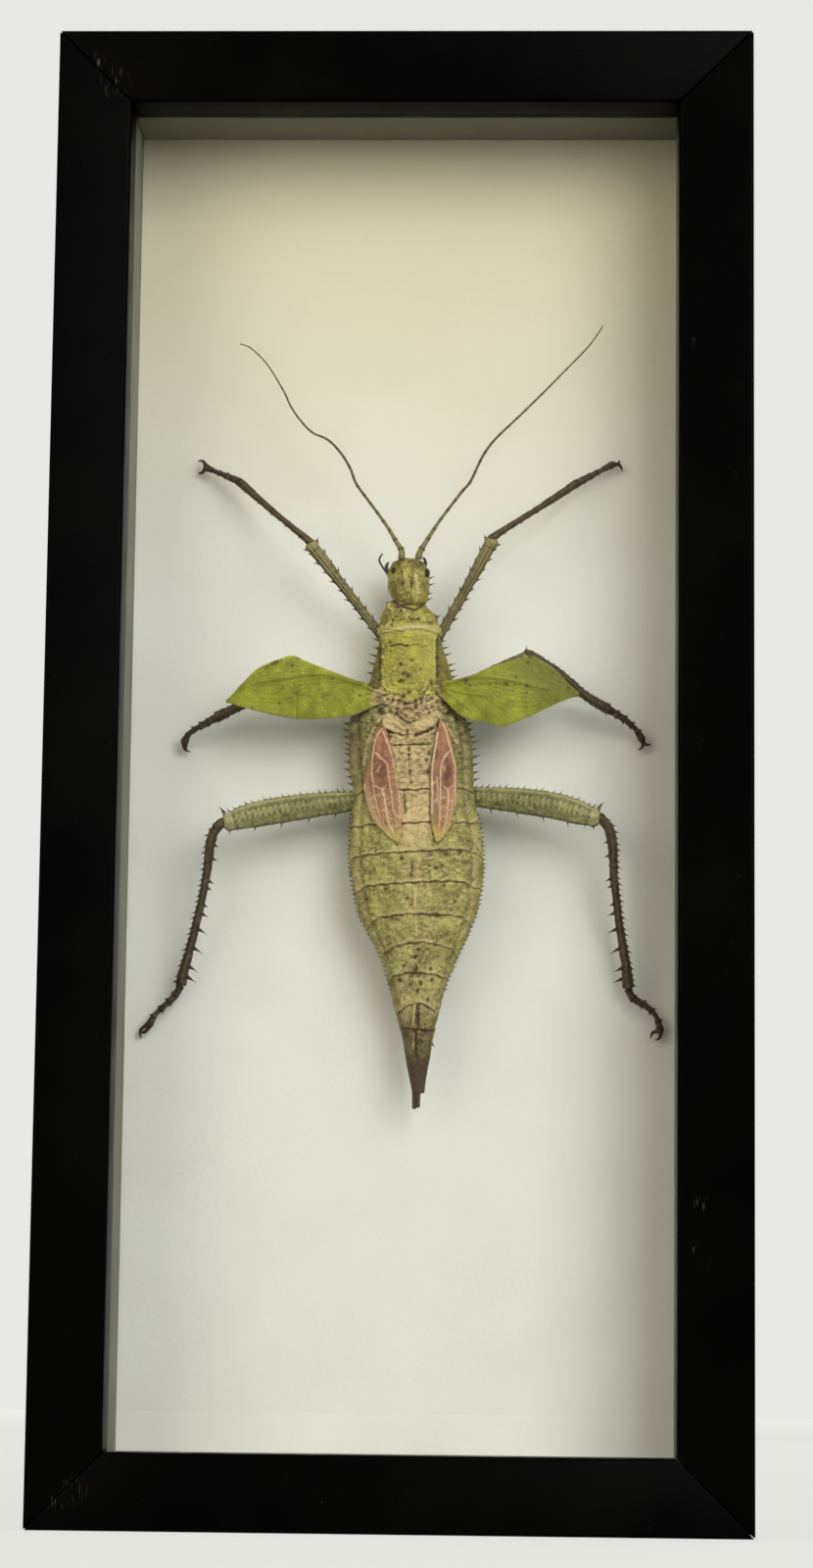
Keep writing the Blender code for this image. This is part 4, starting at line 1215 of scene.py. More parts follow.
    def faces(self, piece: Piece, rows: tuple) -> tuple[Array, Array, Array]:
        """Places of a shell's vertices, how far across they lie, and 1 where they face forward."""
        points = spots_of(piece)
        sizes = profile(rows, points[:, 2])
        across = (points[:, 0] - sizes[:, 0]) / np.maximum(sizes[:, 1], 0.3)
        facing = (self.depth - points[:, 1]) / np.maximum(sizes[:, 2], 0.3)
        return points, across, ease(0.05, 0.3, facing)

    def tones(self, piece: Piece, marks: tuple, pale: Array, dark: Array, back: Array, rise: Rise) -> None:
        """Paint a shell's pale and dark tones: its own, those of its marks, painted shade round raised marks,
        painted highlight on raised tops and painted shade in pits.

        Args:
            piece: The shell.
            marks: Its marks.
            pale: The pale tone of each vertex.
            dark: The dark tone of each vertex.
            back: 1 where a vertex faces forward.
            rise: Gives how far each point is raised.
        """
        points = spots_of(piece)
        x, z = warped(points)
        ragged = ease(-0.35, 0.3, grain(points, 0.9, 41, 3))
        for mark in marks:
            share = mark.share(x, z) * back
            if mark.kind is STAIN:
                share = share * ragged
            _, light, deep, _ = mark.kind.value
            # Raised marks get a dark rim on both sides: painted shade that makes them look raised.
            if light:
                painted_rim_shade = 1.6 * share * (1 - share) * ease(0.75, 0.35, share)
                dark += painted_rim_shade * (1 - dark)
            pale = pale * (1 - share * min(1, deep)) + share * light * (1 - pale)
            dark = dark * (1 - share * light) + share * deep * (1 - dark)
        # Painted highlight on the raised tops of the relief, and painted shade in its hollows.
        lift = rise(points, np.zeros(len(points)), back)
        lift -= np.median(lift)
        pale += 0.3 * ease(0.1, 0.7, lift) * (1 - dark)
        dark += 0.5 * ease(-0.05, -0.55, lift) * (1 - 0.6 * np.clip(pale, 0, 1))
        paint(piece, "pale", pale, 0.95)
        paint(piece, "dark", dark, 0.95)

    def marked(self, marks: tuple, points: Array, back: Array) -> Array:
        """How far a shell's marks raise it."""
        lift = np.zeros(len(points))
        x, z = warped(points)
        for mark in marks:
            lift += mark.kind.value[0] * mark.share(x, z)
        return lift * back

    def rows_of_spines(self, rows: tuple, heights: tuple, length: float, width: float) -> list[Root]:
        """A spine on the body's edge at each height, left and right.

        Args:
            rows: The shell's table.
            heights: The heights of the left spines and of the right spines.
            length: Their length.
            width: Their width at the root.

        Returns:
            A root, direction, bend, length and width for each.
        """
        found = []
        for side, places in zip(Side, heights):
            for z in places:
                middle, half, _ = profile(rows, np.array([z]))[0]
                wobble = noise.noise(Vector((z * 3.1, side.out * 5, length)))
                root = np.array([middle + side.out * (half - 0.3), self.depth - 0.3 + 0.5 * wobble, z])
                direction = np.array([side.out, -0.15 + 0.3 * wobble, 0.05 + 0.25 * wobble])
                found.append((root, direction, UP, length * (1 + 0.35 * wobble), width))
        return found

    def above(self, border: tuple, x: Array, z: Array) -> Array:
        """How far places lie above a segment's border, which is a little wavy."""
        return z - np.interp(x, *zip(*border)) + 0.12 * np.sin(x * 1.7)

    def wrinkled(self, z: Array, across: Array) -> Array:
        """1 in the wrinkled middle of the metathorax."""
        return ease(205, 214, z) * (1 - ease(0.5, 0.75, np.abs(across)))

    def abdomen_rise(self, points: Array, across: Array, back: Array) -> Array:
        """Lips at the segment borders, side folds, wrinkles and the marks' relief."""
        x, _, z = points.T
        lift = self.marked(META_MARKS + ABDOMEN_MARKS, points, back)
        for border in BORDERS:
            above = self.above(border, x, z)
            lip = 0.26 * np.exp(-np.abs(above) / 1.5) * (above > 0)
            lip -= 0.36 * np.exp(-np.abs(above) / 0.55) * (above <= 0)
            lift += lip * ease(-1.05, -0.7, -np.abs(across))
        lift -= 0.5 * bump(np.abs(across), 0.83, 0.03) * ease(148, 165, z) * back
        coarse, fine = grain(points, 2.4, 1, 3), grain(points, 0.95, 2, 2)
        lift += (0.3 * coarse + 0.24 * fine) * ease(106, 160, z)
        deep = grain(points * np.array([1, 1, 1.5]), 2, 3, 3)
        return lift + 0.7 * self.wrinkled(z, across) * back * deep

    def abdomen_tones(self, points: Array, across: Array, back: Array) -> tuple[Array, Array]:
        """The abdomen's pale and dark tones: a pale band, dark borders that are partly painted shade under
        each segment's lip, a dark end and stains.
        """
        x, _, z = points.T
        wide = np.abs(across)
        mottled, ragged = grain(points, 2.6, 4, 3), grain(points, 1.1, 4.5, 3)
        half = 5.4 + 2.4 * ease(208, 213, z)
        band = 1 - ease(half - 1, half + 1, np.abs(x - 3.2) + 0.6 * mottled)
        pale = band * ease(178, 190, z) * back * (0.8 + 0.25 * mottled)
        pale += 0.3 * bump(x, 4.6, 3) * ease(140, 178, z) * back * (0.7 + mottled)
        pale += 0.35 * self.wrinkled(z, across) * ease(-0.2, 0.3, grain(points, 1.7, 47, 2)) * back
        pale += 0.3 * bump(wide, 0.9, 0.04) * back * ease(150, 160, z)
        flanks = bump(wide, 0.5, 0.3) * ease(160, 135, z) * ease(132, 138, z)
        pale += 0.45 * flanks * back
        dark = 0.4 * bump(wide, 0.83, 0.02) * back
        for border in BORDERS:
            above = self.above(border, x, z)
            # A dark seam along each segment border: partly the shell's own dark joint, partly painted shade
            # under the overhanging lip.
            edge = bump(above, -0.1, 0.19)
            dark = np.maximum(dark, np.clip(0.68 + 0.6 * ragged, 0.3, 0.95) * edge)
            pale = pale * (1 - edge) + 0.35 * bump(above, 0.55, 0.35) * back
        dark += 0.55 * ease(141, 131, z + 3 * mottled)
        dark += 0.6 * ease(131, 119, z + 1.5 * mottled)
        dark += 0.55 * ease(162, 130, z) * np.clip(mottled + 0.15, 0, 1)
        dark += 0.5 * ease(216, 220, z) * ease(-0.25, 0.35, ragged)
        dark += 0.35 * ease(0.45, 0.8, wide) * ease(190, 205, z)
        dark += 0.3 * band * ease(-0.1, 0.4, ragged) * ease(185, 195, z)
        stains = ease(0.25, 0.5, grain(points, 1.1, 46, 3))
        dark += 0.4 * stains * (0.4 + 0.6 * ease(2, 8, x)) * back
        return pale, dark

    def build_abdomen(self) -> None:
        """Metathorax and abdomen, with lapped segments, folds, wrinkles, side spines and two end prongs."""
        faces, ends = (520, 170), (1.5, 0.35)
        piece = self.shell("abdomen_shell", self.abdomen, faces, ends, self.abdomen_rise, packed=0.6)
        points, across, back = self.faces(piece, self.abdomen)
        pale, dark = self.abdomen_tones(points, across, back)
        self.tones(piece, META_MARKS + ABDOMEN_MARKS, pale, dark, back, self.abdomen_rise)
        roots = self.rows_of_spines(self.abdomen, self.back_spines, 2.2, 0.95)
        heights = tuple(np.arange(144, 192, 1.22))
        roots += self.rows_of_spines(self.abdomen, (heights, heights), 1.2, 0.7)
        roots.append((np.array([9.1, 23.5, 129.6]), np.array([0.9, -0.1, -0.7]), -UP, 1.7, 1))
        prongs = []
        for x, end in ((4.8, 111.8), (5.8, 112.2)):
            path = ((x + 0.1, self.depth, 120), (x, self.depth, 116), (x, self.depth, end))
            limb = Limb(f"prong_{end}", path, (1.5, 1.3, 1.2), steps=60, sides=14, flat=1.4, ends=(0.3, 0.2))
            prong = limb.model()
            paint(prong, "dark", np.full(len(prong.data.vertices), 0.95))
            paint(prong, "pale", np.zeros(len(prong.data.vertices)))
            prongs.append(prong)
        join(piece, [Thorn().cluster("edge_spines", roots), *prongs])
        dress(piece, BACK_SHELL.material(), "olive_shell", "abdomen")

    def collar_rise(self, points: Array, across: Array, back: Array) -> Array:
        """The raised rear collar, two low swellings, grain and the marks' relief."""
        z = points[:, 2]
        lift = self.marked(PRONOTUM_MARKS, points, back) + 0.5 * ease(244, 242.6, z)
        lift += 0.3 * bump(np.abs(across), 0.6, 0.14) * back * ease(243.5, 246.5, z)
        return lift + 0.32 * grain(points, 1.6, 5, 3) + 0.18 * grain(points, 0.7, 5.5, 2)

    def build_prothorax(self) -> None:
        """The first section of the thorax, with its collar and pits."""
        piece = self.shell("prothorax_shell", self.prothorax, (130, 150), (1.2, 0.5), self.collar_rise)
        points, across, back = self.faces(piece, self.prothorax)
        z = points[:, 2]
        mottled = np.clip(grain(points, 1.6, 6, 3), 0, 1)
        pale = 0.55 * ease(243.6, 242.6, z) + 0.4 * bump(points[:, 0], 1.5, 2.5) * bump(z, 247.6, 1.8)
        dark = 0.45 * mottled * ease(0.3, 0.9, np.abs(across)) + 0.5 * ease(249.2, 250.4, z)
        self.tones(piece, PRONOTUM_MARKS, pale, dark, back, self.collar_rise)
        roots = self.rows_of_spines(self.prothorax, self.collar_spines, 1.5, 1)
        join(piece, [Thorn().cluster("collar_spines", roots)])
        dress(piece, HEAD_SHELL.material(), "green_shell", "prothorax")

    def plate_rise(self, points: Array, across: Array, back: Array) -> Array:
        """The raised middle plate, rough lower end, grain and the marks' relief."""
        x, _, z = points.T
        inside = ease(-5.9, -5.3, x) * ease(9.8, 9.4, x)
        lift = 0.8 * inside * back + self.marked(MESO_MARKS + META_MARKS, points, back)
        lift += 0.5 * ease(229, 224, z) * grain(points, 1.6, 7.7, 3) * back
        return lift + 0.3 * grain(points, 1.7, 7, 3) + 0.22 * grain(points, 0.75, 7.5, 2)

    def plate_slide(self, points: Array, facing: Array) -> Array:
        """Draw the plate's lower edge down to a ragged point in its middle."""
        x, _, z = points.T
        jagged = 0.9 * grain(points * np.array([1, 0.2, 0.3]), 1.8, 7.9, 2)
        low = ease(226, 222.5, z) * ease(0.1, 0.6, facing)
        return -low * (2.6 * bump(x, 3.2, 3.4) + jagged - 0.6)

    def build_mesothorax(self) -> None:
        """The second section of the thorax, with its raised plate and side spines."""
        name = "mesothorax_shell"
        piece = self.shell(name, self.mesothorax, (220, 170), (1.2, 0.9), self.plate_rise, self.plate_slide)
        points, across, back = self.faces(piece, self.mesothorax)
        x, _, z = points.T
        mottled = grain(points, 1.8, 8, 3)
        inside = ease(-5.9, -5.3, x) * ease(9.9, 9.4, x)
        dark = (0.5 + 0.25 * mottled) * (1 - inside)
        dark += 0.3 * inside * np.clip(mottled + 0.1, 0, 1) * ease(4, -3, x)
        dark += 0.5 * bump(x, 1, 3) * bump(z, 228.5, 2.5) * ease(-0.1, 0.4, mottled)
        lower = ease(227.5, 224, z) * ease(5.5, 1, np.abs(x - 5.5) + 2)
        dark += 0.45 * lower * ease(-0.3, 0.4, mottled)
        pale = 0.3 * ease(239, 241, z)
        pale += 0.7 * ease(226.5, 224, z) * ease(0.1, -0.3, mottled)
        self.tones(piece, MESO_MARKS + META_MARKS, pale, dark, back, self.plate_rise)
        roots = self.rows_of_spines(self.mesothorax, self.thorax_spines, 2.3, 0.85)
        join(piece, [Thorn().cluster("thorax_spines", roots)])
        dress(piece, THORAX_SHELL.material(), "green_shell", "mesothorax")

    def head_rise(self, points: Array, across: Array, back: Array) -> Array:
        """Two long swellings, a middle groove, feeler sockets, grain and the marks' relief."""
        z = points[:, 2]
        lift = 0.45 * bump(np.abs(across), 0.42, 0.22) * bump(z, 256, 4) * back
        lift -= 0.2 * bump(across, 0, 0.06) * back
        lift -= 0.4 * bump(np.abs(across), 0.5, 0.2) * bump(z, 260.6, 0.8) * back
        lift += self.marked(HEAD_MARKS, points, back)
        return lift + 0.3 * grain(points, 1.5, 9, 3) + 0.16 * grain(points, 0.7, 9.5, 2)

    def build_head(self) -> None:
        """Head capsule with eyes, feeler sockets, palps and a few spines behind the right eye."""
        piece = self.shell("head_shell", self.head, (150, 140), (1.6, 1.2), self.head_rise)
        points, across, back = self.faces(piece, self.head)
        mottled = grain(points, 1.5, 10, 3)
        z = points[:, 2]
        dark = 0.45 * bump(np.abs(across), 0.6, 0.3) * bump(z, 260.2, 1.6) * ease(-0.3, 0.2, mottled)
        dark += 0.5 * np.clip(mottled, 0, 1) + 0.6 * ease(250.4, 248.8, z)
        dark += 0.6 * ease(260.2, 262, z) * ease(-0.3, 0.3, mottled)
        # A pale stripe on the head's right swelling: painted highlight on the side facing the light.
        pale = 0.4 * bump(across, RIB, 0.3) * bump(z, 254.5, 3)
        pale += 0.3 * bump(across, -0.1, 0.12) * bump(z, 256, 2)
        self.tones(piece, HEAD_MARKS, pale, dark, back, self.head_rise)
        roots = self.rows_of_spines(self.head, self.head_spines, 1.9, 0.8)
        join(piece, [Thorn().cluster("head_spines", roots)])
        dress(piece, HEAD_SHELL.material(), "green_shell", "head")
        self.build_eye(Side.LEFT, (-2.4, 21, 258.5), 0.85)
        self.build_eye(Side.RIGHT, (6.6, 23, 258.2), 1.15)
        self.build_palps()

    def build_eye(self, side: Side, middle: tuple[float, float, float], radius: float) -> None:
        """A small dark round eye, its inner part cut in by a fine line.

        Args:
            side: The side it is on.
            middle: Its middle as X, D, Z.
            radius: Its radius in millimetres.
        """
        spot = place(np.array([middle]))[0]
        way = np.array([side.out, -0.7, 0.1])
        deselect()
        bpy.ops.mesh.primitive_uv_sphere_add(segments=28, ring_count=16, radius=radius * MM, location=spot)
        eye = settle(f"eye_{side.value}", (0.85, 1, 1.15))
        bpy.ops.object.mode_set(mode="EDIT")
        bpy.ops.mesh.select_all(action="SELECT")
        bpy.ops.mesh.bisect(plane_co=spot + way * 0.3 * MM, plane_no=way)
        bpy.ops.object.mode_set(mode="OBJECT")
        bpy.ops.object.shade_smooth()
        for name in ("tip", "pale", "dark"):
            paint(eye, name, np.zeros(len(eye.data.vertices)))
        dress(eye, EYE.material(), "green_shell")

    def build_palps(self) -> None:
        """The jointed mouth feelers that stick out beside the head."""
        for i, (path, widths) in enumerate(PALPS):
            limb = Limb(f"palp_{i + 1}", path, widths, steps=48, sides=14, ends=(0.25, 0.25))
            dress(limb.model(), PALP.material(), "brown_leg")

    def build(self) -> None:
        """Build the whole trunk."""
        self.build_head()
        self.build_prothorax()
        self.build_mesothorax()
        self.build_abdomen()


@dataclass
class Limb:
    """One segment of a leg, a feeler or a palp: a ridged tube along a smooth line."""

    name: str
    path: Sequence[Sequence[float]]
    widths: Sequence[float]
    steps: int = 120
    sides: int = 28
    flat: float = 1.0
    ridges: float = 0.0
    beads: float = 0.0
    knots: int = 0
    keel: float = 0.0
    knee: bool = False
    gnarl: float = 0.09
    ends: tuple[float, float] = (0.5, 0.5)
    seed: float = 1.0

    def line(self, along: Array) -> tuple[Array, Array, Array, Array, Array]:
        """Middle line, its direction, the way across, the way up and the half width."""
        dense = np.linspace(0, len(self.path) - 1, 300)
        reach = np.linalg.norm(np.diff(curve(self.path, dense), axis=0), axis=1)
        reach = np.concatenate([[0], np.cumsum(reach)])
        at = np.interp(along * reach[-1], reach, dense)
        step = 0.02
        middle = curve(self.path, at)
        ahead = curve(self.path, np.minimum(at + step, len(self.path) - 1))
        behind = curve(self.path, np.maximum(at - step, 0))
        forward = ahead - behind
        forward /= np.linalg.norm(forward, axis=1)[:, None]
        side = np.cross(forward, np.array([0, -1, 0]))
        side /= np.linalg.norm(side, axis=1)[:, None]
        rise = np.cross(side, forward)
        widths = np.asarray(self.widths, dtype=float)[:, None]
        half = curve(widths, along * (len(widths) - 1))[:, 0] / 2
        return middle, forward, side, rise, half

    def length(self) -> float:
        """Length of the middle line in millimetres."""
        middle = self.line(np.linspace(0, 1, 200))[0]
        return float(np.linalg.norm(np.diff(middle, axis=0), axis=1).sum())

    def shape(self, along: Array, across: Array) -> Array:
        """Place the limb's surface, with its ridges, beads and knots."""
        middle, forward, side, rise, half = self.line(along)
        angle = across * math.tau
        total = self.length()
        near = np.clip(along * total / self.ends[0], 0, 1)
        far = np.clip((1 - along) * total / self.ends[1], 0, 1)
        closing = np.sqrt(1 - (1 - near) ** 2) * np.sqrt(1 - (1 - far) ** 2)
        front = math.pi / 2
        lift = self.ridges * (0.5 + 0.5 * np.cos(5 * angle - front)) ** 2
        if self.beads:
            lift += self.beads * self.rows_of_beads(along, angle)
        if self.keel:
            lift += 0.4 * bump(angle, front + self.keel, 0.13)
            lift -= 0.25 * bump(angle, front + 0.62 * self.keel, 0.13)
            lift += 0.3 * bump(angle, front - 1.15 * self.keel, 0.16)
        if self.knots:
            phase = (along * self.knots) % 1
            lift += 0.2 * half * np.maximum(bump(phase, 0, 0.1), bump(phase, 1, 0.1))
        if self.knee:
            lift += half * (0.1 * bump(along, 0.965, 0.025) - 0.05 * bump(along, 0.915, 0.018))
        c, s = np.cos(angle)[:, None], np.sin(angle)[:, None]
        spots = middle + (side * c + rise * s) * half[:, None]
        rough = grain(spots, 0.9, self.seed, 2) + 0.8 * grain(spots, 2.2, self.seed + 3, 2)
        radius = (half + lift + self.gnarl * half * rough) * closing
        return middle + (side * c + rise * s * self.flat) * radius[:, None]

    def rows_of_beads(self, along: Array, angle: Array) -> Array:
        """Two uneven rows of low beads along the front, 1 on a bead and below 0 between."""
        reach = along * self.length() / 1.55
        spots = np.stack([reach * 1.3, angle, np.zeros_like(reach)], axis=-1)
        phase = (reach + 0.16 * grain(spots, 1, self.seed, 2)) * math.tau
        first = bump(angle, math.pi / 2 - 0.26, 0.15) * np.cos(phase)
        return first + bump(angle, math.pi / 2 + 0.26, 0.15) * np.cos(phase + 0.7)

    def model(self) -> Piece:
        """Make the limb's mesh and paint its joints."""
        piece = sheet_of(self.name, self.steps, self.sides, self.shape, closed=True)
        along, across = value_of(piece, "along"), value_of(piece, "across")
        total = self.length()
        dark = 0.5 * np.maximum(bump(along * total, 0, 0.9), bump(along * total, total, 0.9))
        if self.knots:
            phase = (along * self.knots) % 1
            dark = np.maximum(dark, 0.85 * np.maximum(bump(phase, 0, 0.1), bump(phase, 1, 0.1)))
        angle = across * math.tau
        front = math.pi / 2
        pale = 2.2 * self.ridges * (0.5 + 0.5 * np.cos(5 * angle - front)) ** 4
        if self.beads:
            beads = self.rows_of_beads(along, angle)
            pale = 0.3 * pale + 0.5 * np.clip(beads, 0, 1)
            dark += 0.45 * np.clip(-beads, 0, 1)
        if self.keel:
            dashes = 0.5 + 0.5 * np.cos(along * total / 2.1 * math.tau)
            pale += 0.75 * bump(angle, front + self.keel, 0.12)
            pale += 0.6 * bump(angle, front - 1.15 * self.keel, 0.14) * dashes
            dark += 0.5 * bump(angle, front + 0.6 * self.keel, 0.12)
        if self.knee:
            pale += 0.2 * ease(0.5, 0.9, along) + 0.4 * ease(0.9, 0.96, along)
            pale += 0.4 * bump(along, 0.985, 0.012)
            dark = dark * (1 - 0.6 * ease(0.9, 0.96, along)) + 0.4 * bump(along, 0.915, 0.01)
            # Both sides of the thigh, as turned away from the front, are darkened: painted shade.
            dark += 0.4 * ease(0.6, 0.95, np.abs(np.cos(angle)))
        paint(piece, "dark", dark, 0.9)
        paint(piece, "pale", pale, 0.85)
        return piece

    def spine(self, share: float, way: Sequence[float], length: float, width: float, lean: float) -> Root:
        """One spine on the limb.

        Args:
            share: Where along the limb it stands, 0 to 1.
            way: Roughly which way it points, as X, D, Z.
            length: Its length in millimetres.
            width: Its width at the root.
            lean: How far it leans along the limb.

        Returns:
            Its root, direction, bend, length and width.
        """
        middle, forward, side, rise, half = (part[0] for part in self.line(np.array([share])))
        across = np.asarray(way, dtype=float)
        across = across - forward * np.dot(across, forward)
        across /= np.linalg.norm(across)
        root = middle + across * half * 0.82
        return root, across + forward * lean, forward, length, width

    def spines(
        self, places: tuple[float, float, int], way: Sequence[float], lengths: tuple, width: float,
        lean: float,
    ) -> list[Root]:
        """A row of spines along the limb.

        Args:
            places: Where along the limb the first and the last stand, and how many there are.
            way: Roughly which way they point, as X, D, Z.
            lengths: Their lengths in millimetres, taken in turn.
            width: Their width at the root.
            lean: How far they lean along the limb.

        Returns:
            The spines.
        """
        shares = enumerate(np.linspace(*places))
        return [self.spine(share, way, lengths[i % len(lengths)], width, lean) for i, share in shares]


class Pair(Enum):
    """The three pairs of legs."""

    FORE = "fore"
    MIDDLE = "middle"
    HIND = "hind"


@dataclass
class Leg:
    """One leg: thigh, shin and jointed foot with two claws."""

    pair: Pair
    side: Side
    femur: tuple
    femur_widths: tuple
    tibia: tuple
    tibia_widths: tuple
    foot: tuple
    claws: tuple
    foot_widths: tuple = (2.3, 1.9, 1.9, 1.6, 1.4, 1.5, 2.3)
    sunk: float = 1.2
    long_spines: tuple = (
        (0.17, 1.5), (0.25, 1.9), (0.38, 1.9), (0.42, 1.6), (0.52, 1.5),
        (0.57, 2.4), (0.66, 3), (0.77, 3.3), (0.88, 3), (0.94, 3.3),
    )
    toe_spines: tuple = (0.19, 0.39, 0.59, 0.8)

    def named(self, part: str) -> str:
        """A piece's name, with its pair and its side."""
        return f"{self.pair.value}_{part}_{self.side.value}"

    def thigh(self) -> Limb:
        """The thigh: ridged and keeled, beaded on the hind pair, plain where the fore wings cover it."""
        out = self.side.out
        hind, covered = self.pair is Pair.HIND, self.pair is Pair.MIDDLE
        keel = {Pair.FORE: -0.5, Pair.MIDDLE: 0, Pair.HIND: 0.85}[self.pair] * out
        return Limb(
            self.named("thigh"), self.femur, self.femur_widths, steps=140 if covered else 230,
            sides=40 if covered else 56, ridges=0.16 if hind else 0.2, beads=0.13 if hind else 0, keel=keel,
            knee=True, gnarl=0.045 if hind else 0.08, ends=(0.8, 1.9 if hind else 1.2), seed=3 + out,
        )

    def thigh_spines(self, thigh: Limb) -> list[Root]:
        """Rows of spines on a thigh's two edges, and stronger ones at its knee.

        Args:
            thigh: The thigh.

        Returns:
            The spines.
        """
        out = self.side.out
        if self.pair is Pair.MIDDLE:
            return [thigh.spine(0.97, UP, 2, 1, 0.2)]
        if self.pair is Pair.FORE:
            outer = np.array([out, 0, -0.8])
            roots = thigh.spines((0.12, 0.9, 9), outer, (1.4, 1.8), 0.9, 0.7)
            roots += thigh.spines((0.08, 0.84, 9), -outer, (1.8, 1.4), 0.9, 0.7)
            return roots + [thigh.spine(0.95, outer, 1.6, 1.3, 0.5), thigh.spine(0.95, -outer, 1.8, 1.4, 0.5)]
        roots = thigh.spines((0.04, 0.92, 21), UP + (0, -0.35, 0), (1.7, 2, 2.3), 0.75, 0.35)
        roots += thigh.spines((0.1, 0.9, 13), -UP + (0, -0.1, 0), (1.2, 2.3, 1.2), 0.8, 0.25)
        roots.append(thigh.spine(0.96, (out, -0.2, 0.9), 3, 1.5, 0.3))
        return roots + [thigh.spine(0.95, (0, -0.2, -1), 1.8, 1, 0.3)]

    def shin(self) -> Limb:
        """The shin, whose first part is sunk into the knee."""
        knee, before = np.asarray(self.femur[-1], dtype=float), np.asarray(self.femur[-2], dtype=float)
        sunk = knee + self.sunk * (before - knee) / np.linalg.norm(before - knee)
        return Limb(
            self.named("shin"), (tuple(sunk), *self.tibia), self.tibia_widths, steps=230, sides=30,
            ridges=0.16, gnarl=0.13, ends=(0.7, 0.6), seed=5 + self.side.out,
        )

    def shin_spines(self, shin: Limb) -> list[Root]:
        """Rows of spines along a shin, the hind one's inner row long and uneven.

        Args:
            shin: The shin.

        Returns:
            The spines.
        """
        if self.pair is Pair.HIND:
            inner = np.array([-self.side.out, -0.25, -0.15])
            roots = [shin.spine(share, inner, length, 1.05, 0.1) for share, length in self.long_spines]
            roots += shin.spines((0.06, 0.98, 30), -inner, (1.1, 1.4, 1.7), 0.8, 0.4)
            return roots + shin.spines((0.1, 0.95, 12), inner + (0, -0.8, 0), (1,), 0.7, 0.4)
        length, count = (1.1, 16) if self.pair is Pair.MIDDLE else (0.5, 11)
        roots = shin.spines((0.08, 0.97, count), (0, -0.3, -1), (length, length + 0.3), 0.65, 0.4)
        for share in np.linspace(0.08, 0.97, count):
            roots.append(shin.spine(min(0.97, share + 0.03), (0, -0.3, 1), length - 0.15, 0.6, 0.4))
        return roots

    def claw(self, number: int, tip: Array) -> Piece:
        """One hooked claw at the foot's end.

        Args:
            number: 0 or 1, which turns its hook to one side or the other.
            tip: Where its point is.

        Returns:
            The claw.
        """
        end = np.asarray(self.foot[-1])
        way = tip - end
        swell = np.cross(way, np.array([0, 1, 0])) * (0.3 if number else -0.3)
        middle = end + way * 0.55 + swell + np.array([0, -0.4, 0])
        path = (end - way * 0.2, middle, tip)
        widths = (1.5, 1.1, 0.75, 0.2)
        claw = Limb(f"claw_{number}", path, widths, steps=30, sides=12, ends=(0.2, 0.2)).model()
        paint(claw, "tip", np.full(len(claw.data.vertices), 0.8))
        return claw

    def build_foot(self) -> None:
        """Five short joints, a pad, small spines and two hooked claws."""
        foot = Limb(
            self.named("toes"), self.foot, self.foot_widths, steps=150, sides=22, flat=0.85, knots=5,
            gnarl=0.14, ends=(0.4, 0.4), seed=8 + self.side.out,
        )
        parts = [self.claw(i, np.asarray(tip, dtype=float)) for i, tip in enumerate(self.claws)]
        size = 0.6 if self.pair is Pair.FORE else 1
        roots = []
        for share in self.toe_spines:
            roots.append(foot.spine(share, (0.2, -0.2, 1), size, 0.9 * size, 0.6))
            roots.append(foot.spine(share, (-0.2, -0.2, -1), 1.1 * size, size, 0.6))
        parts.append(Thorn().cluster("toe_spines", roots))
        dress(join(foot.model(), parts), SHIN_SHELL.material(), "brown_leg", self.named("foot"))

    def build(self) -> None:
        """Build the leg's three pieces."""
        hind, fore = self.pair is Pair.HIND, self.pair is Pair.FORE
        thigh = self.thigh()
        piece = join(thigh.model(), [Thorn().cluster("thigh_spines", self.thigh_spines(thigh))])
        finish = HIND_SHELL if hind else FORE_SHELL
        dress(piece, finish.material(), "green_leg" if hind else "olive_leg", self.named("femur"))
        shin = self.shin()
        piece = join(shin.model(), [Thorn().cluster("shin_spines", self.shin_spines(shin))])
        dress(piece, SHIN_SHELL.material(), "olive_leg" if fore else "brown_leg", self.named("tibia"))
        self.build_foot()


